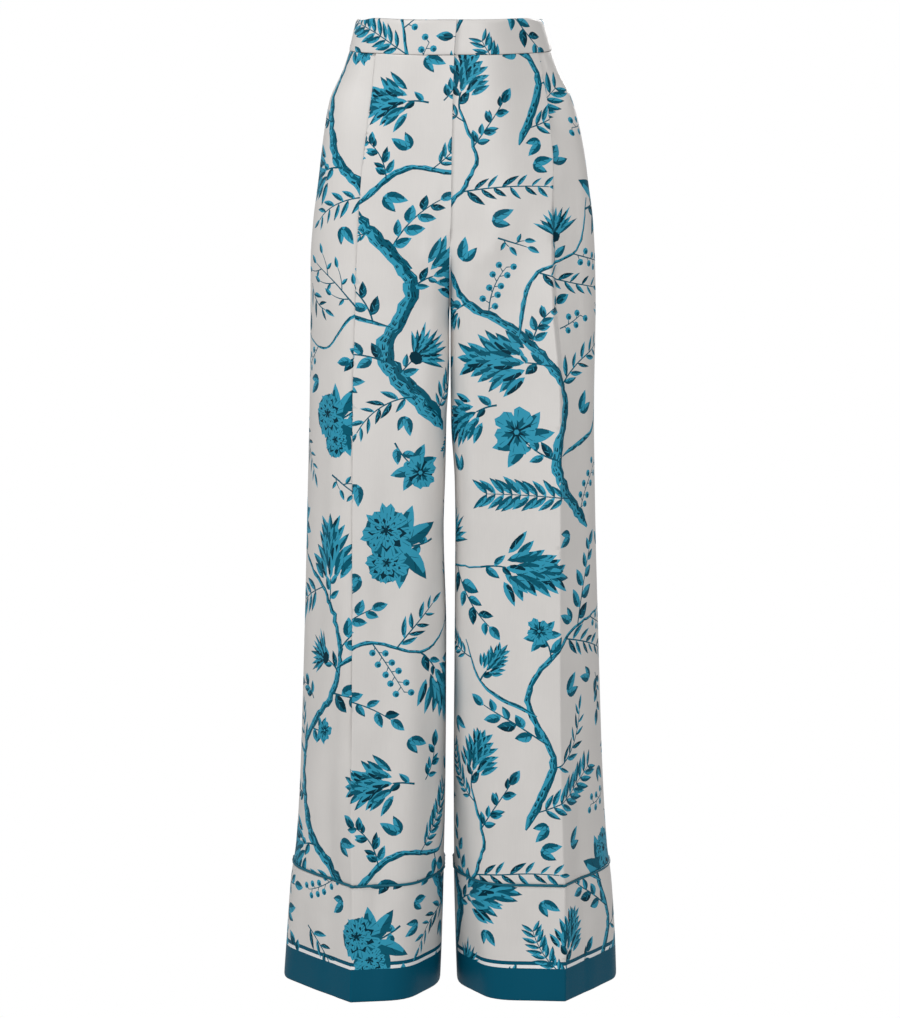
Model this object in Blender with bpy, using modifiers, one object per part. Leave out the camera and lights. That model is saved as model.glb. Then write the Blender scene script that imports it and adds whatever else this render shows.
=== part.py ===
"""Pyjama trousers, worn hollow form, built as the pieces that are cut and sewn.

High waist, lapped fly, one long knife pleat in each front that runs on as the
front crease, wide straight legs and deep hem cuffs with cord piping above them.

World frame: +Z up, the front faces -Y, the wearer's right leg is at -X.
The origin is the centre of the waist, at the middle of the waistband.
Every table is in millimetres. "drop" is the distance below the waistband's top
edge at the side seam. "out" is the distance from the centre plane, and "back"
is the distance behind the side seam's plane, so the front has it negative.
"""

from math import atan2, cos, hypot, pi, sin, sqrt

import bpy

# ---------------------------------------------------------------- driving sizes

MM = 0.001
WAIST_TOP = 20.0          # height of the waistband's top edge above the origin
WAIST_SEAM = 39.0         # drop of the seam under the waistband
CROTCH = 334.0            # drop of the lowest point of the crotch seam
FLY_END = 246.0           # drop where the fly lap ends in the centre seam
FRONT_DEPTH = 104.0       # centre front at the fly's end
SEAT_DEPTH = 127.0        # centre back where the crotch curve starts
SEAT_TURN = 250.0         # drop of that point
CUFF_SEAM = 984.0         # drop of the piping above the cuff
HEM = 1122.0              # drop of the hem

CLOTH = 1.2               # wall of the legs
CUFF_CLOTH = 1.6          # wall of the turned-up cuffs
BAND_CLOTH = 2.4          # wall of the doubled waistband
PIPING = 3.0              # diameter of the piping
SEAM_GAP = 0.3            # between two pieces that are sewn together
WAIST_GAP = 0.5           # half the gap under the waistband, whose wall leans
LAP_STEP = 13.0           # where the under lap of the waistband steps back
FOLD_STEP = 2.2           # from layer to layer in a pressed fold
PRESSED = 177.0           # turn in degrees of a fold that is pressed shut
SHUT_BEND = 7.0           # from the crest to the bend in the face over a shut fold
FOLD_SPACE = 0.6          # room between that face and the fold under it
SIDE_BOW = 1.5            # how far the face beside an open crease bows out
BOW_SHARE = 0.45          # where, as a share of the way to the outside corner

CENTRE_SPACE = 0.2        # more room where a wall lies along the centre plane
LEAN_REACH = 1.6          # how soon a leaning wall takes up all of that room
AHEAD_SHARE = 0.45        # share of a section whose drop runs ahead at the crotch
KEPT = 0.8                # most of a stretch that its two rounded corners take
NEAR_CUT = 12.0           # rounding of the corner beside the inseam
BEND_CUT = 16.0           # rounding of the bend beside the crest
LAP_CUT = 4.0             # rounding of the waistband where the under lap steps
LAP_SPACE = 0.4           # between the two laps of the waistband
BAND_CUTS = (30.0, 38.0)  # rounding of the waistband's front and side corners

PRINTED = ("printed_satin", (0.72, 0.70, 0.68), 0.4)
BORDER = ("cuff_satin", (0.45, 0.55, 0.58), 0.4)
CORD = ("piping_satin", (0.01, 0.16, 0.24), 0.45)
SHEEN = 0.3

RIGHT = -1                # side of the wearer's right leg along X
LEFT = 1

# ------------------------------------------------------------------- tables

SIDE = {                  # the outline seen from the front, at the side seam
    "columns": ("drop", "out_right", "out_left", "seam_back"),
    "rows": (
        (0, 106, 106, 0),
        (39, 115, 116.5, 0),
        (60, 122, 124.5, 0),
        (97, 138, 140.5, 0),
        (142, 145.5, 151.5, 0),
        (188, 151, 158, 1),
        (234, 157, 164, 2),
        (280, 160.5, 166.5, 2),
        (334, 161, 167.5, 2),
        (443, 162.5, 166, 1),
        (559, 165.5, 168, 0),
        (724, 170, 173, 1),
        (866, 174.5, 178, 2),
        (961, 180.5, 184, 3),
        (1009, 187, 189.5, 4),
        (1081, 192.5, 194.5, 6),
        (1122, 195.5, 196, 6),
    ),
}

CREST = {                 # the pleat's folded edge, lower down the front crease
    "columns": ("drop", "out_right", "back_right", "out_left", "back_left"),
    "rows": (
        (0, 78, -66, 90, -51),
        (39, 84, -66, 100, -53),
        (62, 86, -69, 105, -57),
        (122, 93.5, -79, 113.5, -69),
        (169, 99, -85, 116.5, -77),
        (230, 103.5, -91, 114.5, -88),
        (280, 105.5, -95, 114.5, -93),
        (334, 107, -99, 116, -97),
        (436, 110, -105, 124, -102),
        (550, 110.5, -110, 124.5, -108),
        (722, 111, -115, 124.5, -114),
        (953, 111.5, -122, 128.5, -118),
        (1000, 110, -124, 130, -120),
        (1122, 113, -131, 131, -126),
    ),
}

PLEAT = {                 # how far it is folded shut (1) or open (0), how deep
    "columns": ("drop", "fold_right", "depth_right", "fold_left", "depth_left"),
    "rows": (
        (0, 1, 20, 1, 20),
        (85, 1, 20, 1, 20),
        (110, 1, 20, 0.9, 18),
        (140, 1, 20, 0.55, 14),
        (170, 1, 20, 0.32, 12),
        (226, 1, 20, 0.24, 12),
        (336, 1, 20, 0.2, 12),
        (450, 1, 17, 0.08, 9),
        (560, 1, 15, 0, 7),
        (680, 1, 11, 0, 6),
        (790, 0.85, 8, 0, 5),
        (860, 0.25, 6, 0, 5),
        (920, 0, 5, 0, 5),
        (1122, 0, 5, 0, 5),
    ),
}

INNER = {                 # the inseam, seen between the legs
    "columns": ("drop", "out_right", "out_left"),
    "rows": (
        (0, 1, 1),
        (400, 1.1, 1.1),
        (463, 4.5, 1.6),
        (530, 6, 5.8),
        (600, 8, 6.9),
        (720, 4.8, 5.8),
        (880, 5.8, 4.8),
        (1000, 8, 5.4),
        (1072, 10, 7),
        (1122, 12, 8.6),
    ),
}

FRONT_CORNERS = {         # two soft corners between inseam and crest, one outside
    "columns": (
        "drop", "near_out", "near_back", "face_out", "face_back", "face_cut",
        "side_back", "side_cut",
    ),
    "rows": (
        (0, 9, -92, 46, -90, 35, -36, 36),
        (39, 9, -94, 50, -92, 35, -40, 38),
        (120, 9, -99, 55, -98, 40, -44, 40),
        (200, 9, -102.5, 60, -103, 40, -47, 40),
        (246, 7, -104, 50, -105.5, 30, -48, 40),
        (270, 5, -103, 30, -107.5, 22, -48, 40),
        (300, 1.8, -94, 16, -106, 14, -47, 40),
        (334, 1.1, -86, 13, -103, 14, -46, 40),
        (400, 1.1, -84, 14, -102, 16, -44, 38),
        (463, 1.1, -82, 17, -102, 18, -43, 36),
        (600, 1.1, -78, 20, -103, 22, -41, 34),
        (722, 1.1, -72, 24, -104, 24, -39, 34),
        (880, 1.1, -62, 34, -108, 28, -34, 34),
        (1000, 1.1, -50, 42, -112, 28, -26, 34),
        (1122, 1.1, -42, 50, -119, 26, -14, 34),
    ),
}

BACK_CORNERS = {          # outside corner, back crease, two soft inner corners
    "columns": (
        "drop", "side_back", "side_cut", "crease_out", "crease_back", "crease_cut",
        "face_out", "face_back", "face_cut", "near_out", "near_back",
    ),
    "rows": (
        (0, 40, 38, 66, 82, 40, 34, 90, 20, 16, 90),
        (39, 42, 40, 74, 85, 40, 36, 93.5, 20, 16, 93.5),
        (120, 48, 44, 92, 99, 45, 44, 108, 25, 16, 108.5),
        (200, 54, 48, 104, 111, 50, 47, 122.5, 25, 16, 123.5),
        (250, 54, 48, 108, 114, 50, 46, 127, 25, 14, 127.5),
        (280, 53, 48, 110, 114, 44, 34, 126.5, 22, 9, 123.5),
        (305, 51, 46, 111, 113, 34, 21, 120, 17, 2.4, 110),
        (334, 48, 44, 112, 112, 20, 15, 112, 14, 1.1, 96),
        (400, 46, 40, 112, 111, 10, 15, 106, 16, 1.1, 88),
        (500, 44, 38, 112, 110, 4, 17, 103, 18, 1.1, 84),
        (720, 40, 34, 112, 110, 3, 22, 100, 20, 1.1, 72),
        (985, 34, 32, 111, 114, 3, 38, 101, 24, 1.1, 48),
        (1122, 32, 32, 110, 120, 3, 46, 107, 26, 1.1, 40),
    ),
}

FLY_LAP = {               # edges past the centre, right one on top, and the step
    "columns": ("drop", "over_right", "under_left", "set_back"),
    "rows": (
        (0, 8, 14, 1.7),
        (39, 5, 12, 1.7),
        (132, 2.4, 12, 1.7),
        (200, 1.5, 8, 1.7),
        (232, 1, 4, 1.7),
        (246, 0, 0, 1.7),
        (264, 0, 0, 0),
        (1122, 0, 0, 0),
    ),
}

SEAM_DIP = {              # how a level seam dips per millimetre of depth
    "columns": ("drop", "front", "back"),
    "rows": (
        (0, 0.1, 0.035),
        (39, 0.095, 0.03),
        (250, 0.02, 0),
        (334, 0, 0),
        (860, 0.01, 0),
        (984, 0.06, 0),
        (1122, 0.015, 0),
    ),
}

# Rows of each panel: drop at the outside, and drop at the inner end, which runs
# ahead down the crotch seam.
FRONT_ROWS = (
    (WAIST_SEAM, WAIST_SEAM), (62, 62), (85, 85), (110, 110), (140, 140), (170, 172),
    (200, 208), (224, FLY_END), (238, 268), (252, 288), (266, 305), (281, 319),
    (297, 329.5), (314, CROTCH), (336, 345), (365, 368), (400, 400), (450, 450),
    (520, 520), (600, 600), (680, 680), (740, 740), (790, 790), (830, 830), (870, 870),
    (925, 925), (CUFF_SEAM, CUFF_SEAM),
)
BACK_ROWS = (
    (WAIST_SEAM, WAIST_SEAM), (75, 75), (115, 115), (155, 158), (190, 202),
    (218, SEAT_TURN), (234, 272), (249, 292), (265, 311), (282, 325), (300, 332),
    (316, CROTCH), (338, 346), (367, 370), (400, 400), (460, 460), (540, 540),
    (630, 630), (720, 720), (810, 810), (890, 890), (CUFF_SEAM, CUFF_SEAM),
)
CUFF_ROWS = ((CUFF_SEAM, CUFF_SEAM), (1010, 1010), (1060, 1060), (HEM, HEM))
BAND_ROWS = ((0, 0), (13, 13), (26, 26), (WAIST_SEAM, WAIST_SEAM))

# Faces along each stretch between corners, and round each corner.
FRONT_FACES = {
    "spans": (2, 1, 4, 0, 1, 0, 1, 2, 1),
    "corners": (2, 2, 2, 2, 2, 2, 2, 3),
}
BACK_FACES = {
    "spans": (1, 2, 2, 1, 3),
    "corners": (3, 2, 2, 2),
}
BAND_FACES = {
    "spans": (2, 1, 3, 1),
    "corners": (2, 4, 4),
}

# ----------------------------------------------------------- reading the tables


def slopes(xs, ys):
    """Slopes of a smooth curve through the points that never overshoots them."""
    steps = [b - a for a, b in zip(xs, xs[1:])]
    rates = [(b - a) / h for a, b, h in zip(ys, ys[1:], steps)]
    found = [rates[0]]
    for h0, h1, r0, r1 in zip(steps, steps[1:], rates, rates[1:]):
        if r0 * r1 <= 0:
            found.append(0.0)
        else:
            w0, w1 = 2 * h1 + h0, h1 + 2 * h0
            found.append((w0 + w1) / (w0 / r0 + w1 / r1))
    found.append(rates[-1])
    return found


def curve_of(table, column):
    """Points and slopes of one column of a table over its drops."""
    place = table["columns"].index(column)
    xs = [row[0] for row in table["rows"]]
    ys = [row[place] for row in table["rows"]]
    return xs, ys, slopes(xs, ys)


CURVES = {}


def read(table, column, drop):
    """Smooth value of a table's column at a drop."""
    key = (id(table), column)
    if key not in CURVES:
        CURVES[key] = curve_of(table, column)
    xs, ys, ms = CURVES[key]
    drop = min(max(drop, xs[0]), xs[-1])
    i = 0
    while i < len(xs) - 2 and drop > xs[i + 1]:
        i += 1
    h = xs[i + 1] - xs[i]
    t = (drop - xs[i]) / h
    start = (1 + 2 * t) * (1 - t) ** 2 * ys[i] + t * (1 - t) ** 2 * h * ms[i]
    end = t * t * (3 - 2 * t) * ys[i + 1] + t * t * (t - 1) * h * ms[i + 1]
    return start + end


def side_of(table, name, side, drop):
    """Value of a column that has its own numbers for each leg."""
    return read(table, name + ("_right" if side == RIGHT else "_left"), drop)


# -------------------------------------------------------------- level sections


def step(point, heading, length):
    """Point at a length along a heading in radians."""
    return (point[0] + length * cos(heading), point[1] + length * sin(heading))


def heading_of(a, b):
    """Heading from a to b in radians."""
    return atan2(b[1] - a[1], b[0] - a[0])


def mix(a, b, share):
    """Point at a share of the way from a to b."""
    return (a[0] + (b[0] - a[0]) * share, a[1] + (b[1] - a[1]) * share)


def front_seam(drop):
    """Depth of the centre front, the crotch seam and then the inseam."""
    if drop < FLY_END:
        return read(FRONT_CORNERS, "near_back", drop)
    if drop >= CROTCH:
        return 0.0
    return -FRONT_DEPTH * sqrt(1 - ((drop - FLY_END) / (CROTCH - FLY_END)) ** 2)


def back_seam(drop):
    """Depth of the centre back, the crotch seam and then the inseam."""
    if drop < SEAT_TURN:
        return read(BACK_CORNERS, "near_back", drop)
    if drop >= CROTCH:
        return 0.0
    return SEAT_DEPTH * sqrt(1 - ((drop - SEAT_TURN) / (CROTCH - SEAT_TURN)) ** 2)


def clear_of_centre(back, near):
    """Inner end of a section, off the centre plane by half a seam gap."""
    out = SEAM_GAP / 2
    for _ in range(3):
        lean = abs(sin(heading_of((out, back), near)))
        out = SEAM_GAP / 2 + (CLOTH / 2 + CENTRE_SPACE) * min(1.0, LEAN_REACH * lean)
    return (out, back)


def near_corner(table, side, drop):
    """The corner between the inner face and the front or back face."""
    back = read(table, "near_back", drop)
    out = read(table, "near_out", drop)
    if drop > CROTCH:
        out = side_of(INNER, "out", side, drop)
    return (out, back)


def pleat_corners(side, drop, face, outer):
    """Crest, return and valley of the pleat, then the bend beside the crest."""
    crest = (side_of(CREST, "out", side, drop), side_of(CREST, "back", side, drop))
    fold = side_of(PLEAT, "fold", side, drop)
    depth = side_of(PLEAT, "depth", side, drop)
    ahead = heading_of(face, crest)
    open_turn = heading_of(crest, outer) - ahead
    turn = open_turn + fold * (PRESSED * pi / 180 - open_turn)
    second = step(crest, ahead + turn / 2, FOLD_STEP)
    valley = step(second, ahead + turn, depth)
    onward = heading_of(valley, outer)
    after = step(valley, (ahead + turn + onward) / 2, FOLD_STEP)
    over = step(crest, ahead, SHUT_BEND)
    shut = step(over, ahead + pi / 2, 2 * FOLD_STEP + FOLD_SPACE)
    midway = mix(after, outer, BOW_SHARE)
    bowed = step(midway, heading_of(after, outer) - pi / 2, SIDE_BOW)
    bend = mix(bowed, shut, fold)
    return crest, second, valley, after, bend


def front_corners(side, drop):
    """Corners (out, back, cut) of a front's section, from the centre outward."""
    near = near_corner(FRONT_CORNERS, side, drop)
    face = (read(FRONT_CORNERS, "face_out", drop), read(FRONT_CORNERS, "face_back", drop))
    outer = (side_of(SIDE, "out", side, drop), read(FRONT_CORNERS, "side_back", drop))
    end = (outer[0], read(SIDE, "seam_back", drop) - SEAM_GAP / 2)
    if drop < FLY_END:
        over = read(FLY_LAP, "over_right" if side == RIGHT else "under_left", drop)
        start = (SEAM_GAP / 2 - over, front_seam(drop))
    elif drop < CROTCH:
        start = clear_of_centre(front_seam(drop), near)
    else:
        start = (near[0], -SEAM_GAP / 2)
    if side == LEFT:
        set_back = read(FLY_LAP, "set_back", drop)
        start = (start[0], start[1] + set_back)
        near = (near[0], near[1] + set_back)
    crest, second, valley, after, bend = pleat_corners(side, drop, face, outer)
    half = FOLD_STEP / 2
    face_cut = read(FRONT_CORNERS, "face_cut", drop)
    side_cut = read(FRONT_CORNERS, "side_cut", drop)
    return [
        (*start, 0.0), (*near, NEAR_CUT), (*face, face_cut), (*crest, half),
        (*second, half), (*valley, half), (*after, half), (*bend, BEND_CUT),
        (*outer, side_cut), (*end, 0.0),
    ]


def back_corners(side, drop):
    """Corners (out, back, cut) of a back's section, from the side seam inward."""
    start = (side_of(SIDE, "out", side, drop), read(SIDE, "seam_back", drop) + SEAM_GAP / 2)
    corners = [(*start, 0.0), (start[0], read(BACK_CORNERS, "side_back", drop),
                               read(BACK_CORNERS, "side_cut", drop))]
    for name in ("crease", "face"):
        corners.append(tuple(
            read(BACK_CORNERS, name + part, drop) for part in ("_out", "_back", "_cut")))
    near = near_corner(BACK_CORNERS, side, drop)
    corners.append((*near, NEAR_CUT))
    if drop < CROTCH:
        end = clear_of_centre(back_seam(drop), near)
    else:
        end = (near[0], SEAM_GAP / 2)
    corners.append((*end, 0.0))
    return corners


def band_corners(side, drop):
    """Corners of a front waistband's section, from the centre outward."""
    face = (read(FRONT_CORNERS, "face_out", drop), read(FRONT_CORNERS, "face_back", drop))
    outer = (side_of(SIDE, "out", side, drop), read(FRONT_CORNERS, "side_back", drop))
    over = read(FLY_LAP, "over_right" if side == RIGHT else "under_left", drop)
    set_back = BAND_CLOTH + LAP_SPACE if side == LEFT else 0.0
    depth = front_seam(drop) + set_back
    return [
        (SEAM_GAP / 2 - over, depth, 0.0), (LAP_STEP, depth, LAP_CUT),
        (*face, BAND_CUTS[0]), (*outer, BAND_CUTS[1]),
        (outer[0], read(SIDE, "seam_back", drop) - SEAM_GAP / 2, 0.0),
    ]


def rounded(corners, faces):
    """Points along the corners, each corner cut off by a curve.

    A stretch with no faces of its own takes both of its curves right up to one
    shared point.
    """
    points = [corners[0][:2]]
    lengths = [hypot(b[0] - a[0], b[1] - a[1]) for a, b in zip(corners, corners[1:])]
    shares = []
    for i, length in enumerate(lengths):
        kept = KEPT if faces["spans"][i] else 1.0
        shares.append(min(1.0, kept * length / (corners[i][2] + corners[i + 1][2])))
    reach = [0.0]
    for i in range(1, len(corners) - 1):
        reach.append(corners[i][2] * min(shares[i - 1], shares[i]))
    reach.append(0.0)
    for i in range(1, len(corners)):
        a, b = corners[i - 1][:2], corners[i][:2]
        span = faces["spans"][i - 1]
        begin = mix(a, b, reach[i - 1] / lengths[i - 1])
        finish = mix(a, b, 1 - reach[i] / lengths[i - 1])
        points += [mix(begin, finish, k / span) for k in range(1, span + 1)]
        if not span:
            points[-1] = mix(begin, finish, 0.5)
        if i == len(corners) - 1:
            break
        leave = mix(b, corners[i + 1][:2], reach[i] / lengths[i])
        count = faces["corners"][i - 1]
        for k in range(1, count + 1):
            t = k / count
            points.append(mix(mix(finish, b, t), mix(b, leave, t), t))
    return points


# ------------------------------------------------------------------ the pieces


def place(side, point, drop):
    """World point in metres of a section point at a drop."""
    out, back = point
    dip = read(SEAM_DIP, "front", drop) * max(0.0, -back)
    dip += read(SEAM_DIP, "back", drop) * max(0.0, back)
    return (side * out * MM, back * MM, (WAIST_TOP - drop - dip) * MM)


def grid(side, rows, section, inner_first):
    """Rows of world points; each point is read at its own drop."""
    found = []
    for outer_drop, inner_drop in rows:
        columns = len(section(outer_drop))
        line = []
        for i in range(columns):
            share = i / (columns - 1)
            inner = share if inner_first else 1 - share
            ahead = max(0.0, 1 - inner / AHEAD_SHARE)
            ahead = ahead * ahead * (3 - 2 * ahead)
            drop = outer_drop + (inner_drop - outer_drop) * ahead
            line.append(place(side, section(drop)[i], drop))
        found.append(line)
    return found


def trimmed(rows, top, bottom):
    """The rows with half a seam gap, or more, taken off both ends."""
    first, last = rows[0][0] + top, rows[-1][0] - bottom
    return ((first, first),) + tuple(rows[1:-1]) + ((last, last),)


def material(name, colour, roughness):
    """Plain cloth finish."""
    made = bpy.data.materials.new(name)
    made.use_nodes = True
    shader = made.node_tree.nodes["Principled BSDF"]
    shader.inputs["Base Color"].default_value = (*colour, 1.0)
    shader.inputs["Roughness"].default_value = roughness
    shader.inputs["Sheen Weight"].default_value = SHEEN
    return made


def panel(name, lines, wall, finish, flip):
    """One cut piece: an open sheet of faces with a wall given by Solidify."""
    width = len(lines[0])
    points = [point for line in lines for point in line]
    faces = []
    for j in range(len(lines) - 1):
        for i in range(width - 1):
            a = j * width + i
            face = (a, a + 1, a + 1 + width, a + width)
            faces.append(face[::-1] if flip else face)
    mesh = bpy.data.meshes.new(name)
    mesh.from_pydata(points, [], faces)
    mesh.shade_smooth()
    mesh.materials.append(finish)
    made = bpy.data.objects.new(name, mesh)
    shell = made.modifiers.new("Wall", "SOLIDIFY")
    shell.thickness = wall * MM
    shell.offset = 0.0
    shell.use_even_offset = True
    return made


def leg(side, label, finish):
    """Front and back of one leg, from the waistband seam to the piping."""
    below = (PIPING + SEAM_GAP * 2) / 2
    front = grid(
        side, trimmed(FRONT_ROWS, WAIST_GAP, below),
        lambda drop: rounded(front_corners(side, drop), FRONT_FACES), True)
    back = grid(
        side, trimmed(BACK_ROWS, WAIST_GAP, below),
        lambda drop: rounded(back_corners(side, drop), BACK_FACES), False)
    return [
        panel("leg_front_" + label, front, CLOTH, finish, side == LEFT),
        panel("leg_back_" + label, back, CLOTH, finish, side == LEFT),
    ]


def cuff(side, label, finish):
    """Front and back of one hem cuff, under the piping."""
    above = (PIPING + SEAM_GAP * 2) / 2
    front = grid(
        side, trimmed(CUFF_ROWS, above, 0.0),
        lambda drop: rounded(front_corners(side, drop), FRONT_FACES), True)
    back = grid(
        side, trimmed(CUFF_ROWS, above, 0.0),
        lambda drop: rounded(back_corners(side, drop), BACK_FACES), False)
    return [
        panel("cuff_front_" + label, front, CUFF_CLOTH, finish, side == LEFT),
        panel("cuff_back_" + label, back, CUFF_CLOTH, finish, side == LEFT),
    ]


def waistband(finish):
    """Two lapped fronts and a back that crosses the centre."""
    rows = trimmed(BAND_ROWS, 0.0, SEAM_GAP / 2)
    made = []
    for side, label in ((RIGHT, "right"), (LEFT, "left")):
        lines = grid(
            side, rows, lambda drop: rounded(band_corners(side, drop), BAND_FACES), True)
        made.append(panel("waistband_front_" + label, lines, BAND_CLOTH, finish, side == LEFT))
    halves = [
        grid(side, rows, lambda drop: rounded(back_corners(side, drop), BACK_FACES), False)
        for side in (RIGHT, LEFT)
    ]
    lines = []
    for right, left in zip(*halves):
        centre = (0.0, right[-1][1], right[-1][2])
        lines.append(right[:-1] + [centre] + left[-2::-1])
    made.append(panel("waistband_back", lines, BAND_CLOTH, finish, False))
    return made


def piping(side, label, finish):
    """Cord sewn round the leg in the cuff seam."""
    front = rounded(front_corners(side, CUFF_SEAM), FRONT_FACES)
    back = rounded(back_corners(side, CUFF_SEAM), BACK_FACES)
    ring = [place(side, point, CUFF_SEAM) for point in front[:-1] + back[:-1]]
    path = bpy.data.curves.new("piping_" + label, "CURVE")
    path.dimensions = "3D"
    path.bevel_depth = PIPING / 2 * MM
    path.bevel_resolution = 2
    spline = path.splines.new("POLY")
    spline.points.add(len(ring) - 1)
    for point, spot in zip(spline.points, ring):
        point.co = (*spot, 1.0)
    spline.use_cyclic_u = True
    path.materials.append(finish)
    return bpy.data.objects.new("piping_" + label, path)


def main():
    """Build every piece into one collection."""
    for old in list(bpy.data.objects):
        bpy.data.objects.remove(old)
    group = bpy.data.collections.new("pyjama_trousers")
    bpy.context.scene.collection.children.link(group)
    printed = material(*PRINTED)
    border = material(*BORDER)
    cord = material(*CORD)
    pieces = waistband(printed)
    for side, label in ((RIGHT, "right"), (LEFT, "left")):
        pieces += leg(side, label, printed)
        pieces += cuff(side, label, border)
        pieces.append(piping(side, label, cord))
    for piece in pieces:
        group.objects.link(piece)


main()
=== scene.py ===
"""Looks of the pyjama trousers: thin satin shells with their print, and cord piping.

Each shell is cut flat first. Its flat piece is ruled by "across", the distance
round the leg from the front or back crease, and "drop", the distance below the
waistband's top edge. The print is laid on that flat piece, a mesh is made that
follows every edge of it, and the mesh is then put round the leg.

Tables and sections are those of the CAD part, in millimetres, but for a rounder
inner face and a pleat that opens lower down. The front faces -Y, the wearer's
right leg is at -X, and "back" is negative on the front.
"""

import random

from math import cos, hypot, pi, sin

import bpy
import numpy as np
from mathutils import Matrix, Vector
from mathutils.geometry import delaunay_2d_cdt


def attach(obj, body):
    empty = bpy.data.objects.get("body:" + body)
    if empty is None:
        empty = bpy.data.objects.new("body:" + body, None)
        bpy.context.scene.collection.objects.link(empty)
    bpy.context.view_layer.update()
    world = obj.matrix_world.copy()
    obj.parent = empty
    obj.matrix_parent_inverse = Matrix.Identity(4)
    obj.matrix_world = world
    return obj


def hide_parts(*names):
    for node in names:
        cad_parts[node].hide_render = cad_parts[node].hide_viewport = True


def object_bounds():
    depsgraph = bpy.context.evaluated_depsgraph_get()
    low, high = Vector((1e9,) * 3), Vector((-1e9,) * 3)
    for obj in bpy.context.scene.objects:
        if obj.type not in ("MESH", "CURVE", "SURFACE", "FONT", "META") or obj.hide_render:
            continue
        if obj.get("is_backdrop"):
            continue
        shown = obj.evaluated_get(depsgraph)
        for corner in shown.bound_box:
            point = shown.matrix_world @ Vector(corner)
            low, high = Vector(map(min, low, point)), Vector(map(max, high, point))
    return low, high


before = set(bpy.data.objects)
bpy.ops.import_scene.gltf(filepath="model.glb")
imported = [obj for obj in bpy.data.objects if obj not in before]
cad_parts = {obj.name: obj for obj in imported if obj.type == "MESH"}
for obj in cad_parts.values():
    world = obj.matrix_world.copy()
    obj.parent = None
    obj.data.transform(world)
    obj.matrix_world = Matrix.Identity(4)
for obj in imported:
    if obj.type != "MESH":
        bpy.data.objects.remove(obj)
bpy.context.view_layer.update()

# ---------------------------------------------------------------- driving sizes

MM = 0.001
WAIST_TOP = 20.0          # height of the waistband's top edge above the origin
WAIST_SEAM = 39.0         # this and the next five are drops
FLY_END = 246.0
SEAT_TURN = 250.0         # where the seat seam starts to turn in
CROTCH = 334.0
CUFF_SEAM = 984.0
HEM = 1122.0
FRONT_DEPTH = 104.0       # depth of the centre front where the fly ends
SEAT_DEPTH = 127.0        # depth of the centre back where the seat turns

CLOTH = 0.5               # thickness of a single satin
CUFF_CLOTH = 1.1          # of the doubled hem cuff
BAND_CLOTH = 1.9          # of the faced waistband
PIPING = 3.0              # diameter of the piping
PIPING_OUT = 0.5          # how far it stands out of the cloth
SEAM_GAP = 0.2            # between two pieces that are sewn together
SEAM_ROLL = 0.7           # how far an edge turns in at its seam
ROLL_REACH = 1.3          # and how soon
TOP_ROLL = 3.0            # how far the waistband's top turns in
TOP_REACH = 4.5           # and over what height
CORNER_DROP = 4.0         # how much lower the waistband's top lies at the sides
CORNER_OUT = (86.0, 106.0)  # from where to where out from the centre
CORNER_FADE = 9.0         # how far down that fades
LAP_STEP = 13.0           # where the under lap of the waistband steps back
FOLD_STEP = 1.5           # from layer to layer in a pressed fold
PRESSED = 177.0           # turn in degrees of a fold that is pressed shut
SHUT_BEND = 7.0           # how far past the crest a shut pleat's bend lies
FOLD_SPACE = 1.5          # spare room behind the layers of a shut pleat
SIDE_BOW = 1.5            # how far the side beyond an open pleat bows out
BOW_SHARE = 0.45          # and where along that side
PLEAT_SIDE = 40.0         # past the crest, where a front's side begins
MEET_REACH = 60.0         # over what height it is drawn in to the waistband
CENTRE_SPACE = 0.03       # spare room between the legs at the centre seams
LEAN_REACH = 1.6          # how soon a section that turns along the centre keeps clear of it
KEPT = 0.8                # share of a face that its corners' cuts may take
NEAR_CUTS = (12.0, 26.0)  # cut of the inner corner above and below the crotch
NEAR_TURN = (-20.0, 90.0)  # between which drops past the crotch it changes
BEND_CUT = 16.0           # cut of the bend beside the crest
LAP_CUT = 4.0             # cut of the waistband's bend beside its lap
LAP_SPACE = 1.2           # between the two laps of the waistband
BAND_CUTS = (30.0, 38.0)  # cuts of the waistband's face and outside corners

ROW_STEP = 4.0            # between rows of a cut piece
EDGE = (0.2, 0.5, 1.0)    # shares of EDGE_WIDTH where rows crowd up to an edge
EDGE_WIDTH = 4.0
CHORD = 0.08              # how far an edge of the print may cut across a bend
CHORD_STEPS = (0.8, 6.0)  # shortest and longest step along it
TURN_ROWS = 22            # rows where the crotch seam turns in
TURN_CLEAR = (2.0, 3.0)   # drops above and below the turn that no other row lies in
TURN_PAST = 1.5           # but one, this far below it

RIGHT = -1
LEFT = 1
LABEL = {RIGHT: "right", LEFT: "left"}

# ------------------------------------------------------------------- tables

SIDE = {                  # the outline seen from the front, at the side seam
    "columns": ("drop", "out_right", "out_left", "seam_back"),
    "rows": (
        (0, 106, 106, 0),
        (39, 115, 116.5, 0),
        (60, 122, 124.5, 0),
        (97, 138, 140.5, 0),
        (142, 145.5, 151.5, 0),
        (188, 151, 158, 1),
        (234, 157, 164, 2),
        (280, 160.5, 166.5, 2),
        (334, 161, 167.5, 2),
        (443, 162.5, 166, 1),
        (559, 165.5, 168, 0),
        (724, 170, 173, 1),
        (866, 174.5, 178, 2),
        (961, 180.5, 184, 3),
        (1009, 187, 189.5, 4),
        (1081, 192.5, 194.5, 6),
        (1122, 195.5, 196, 6),
    ),
}

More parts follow.
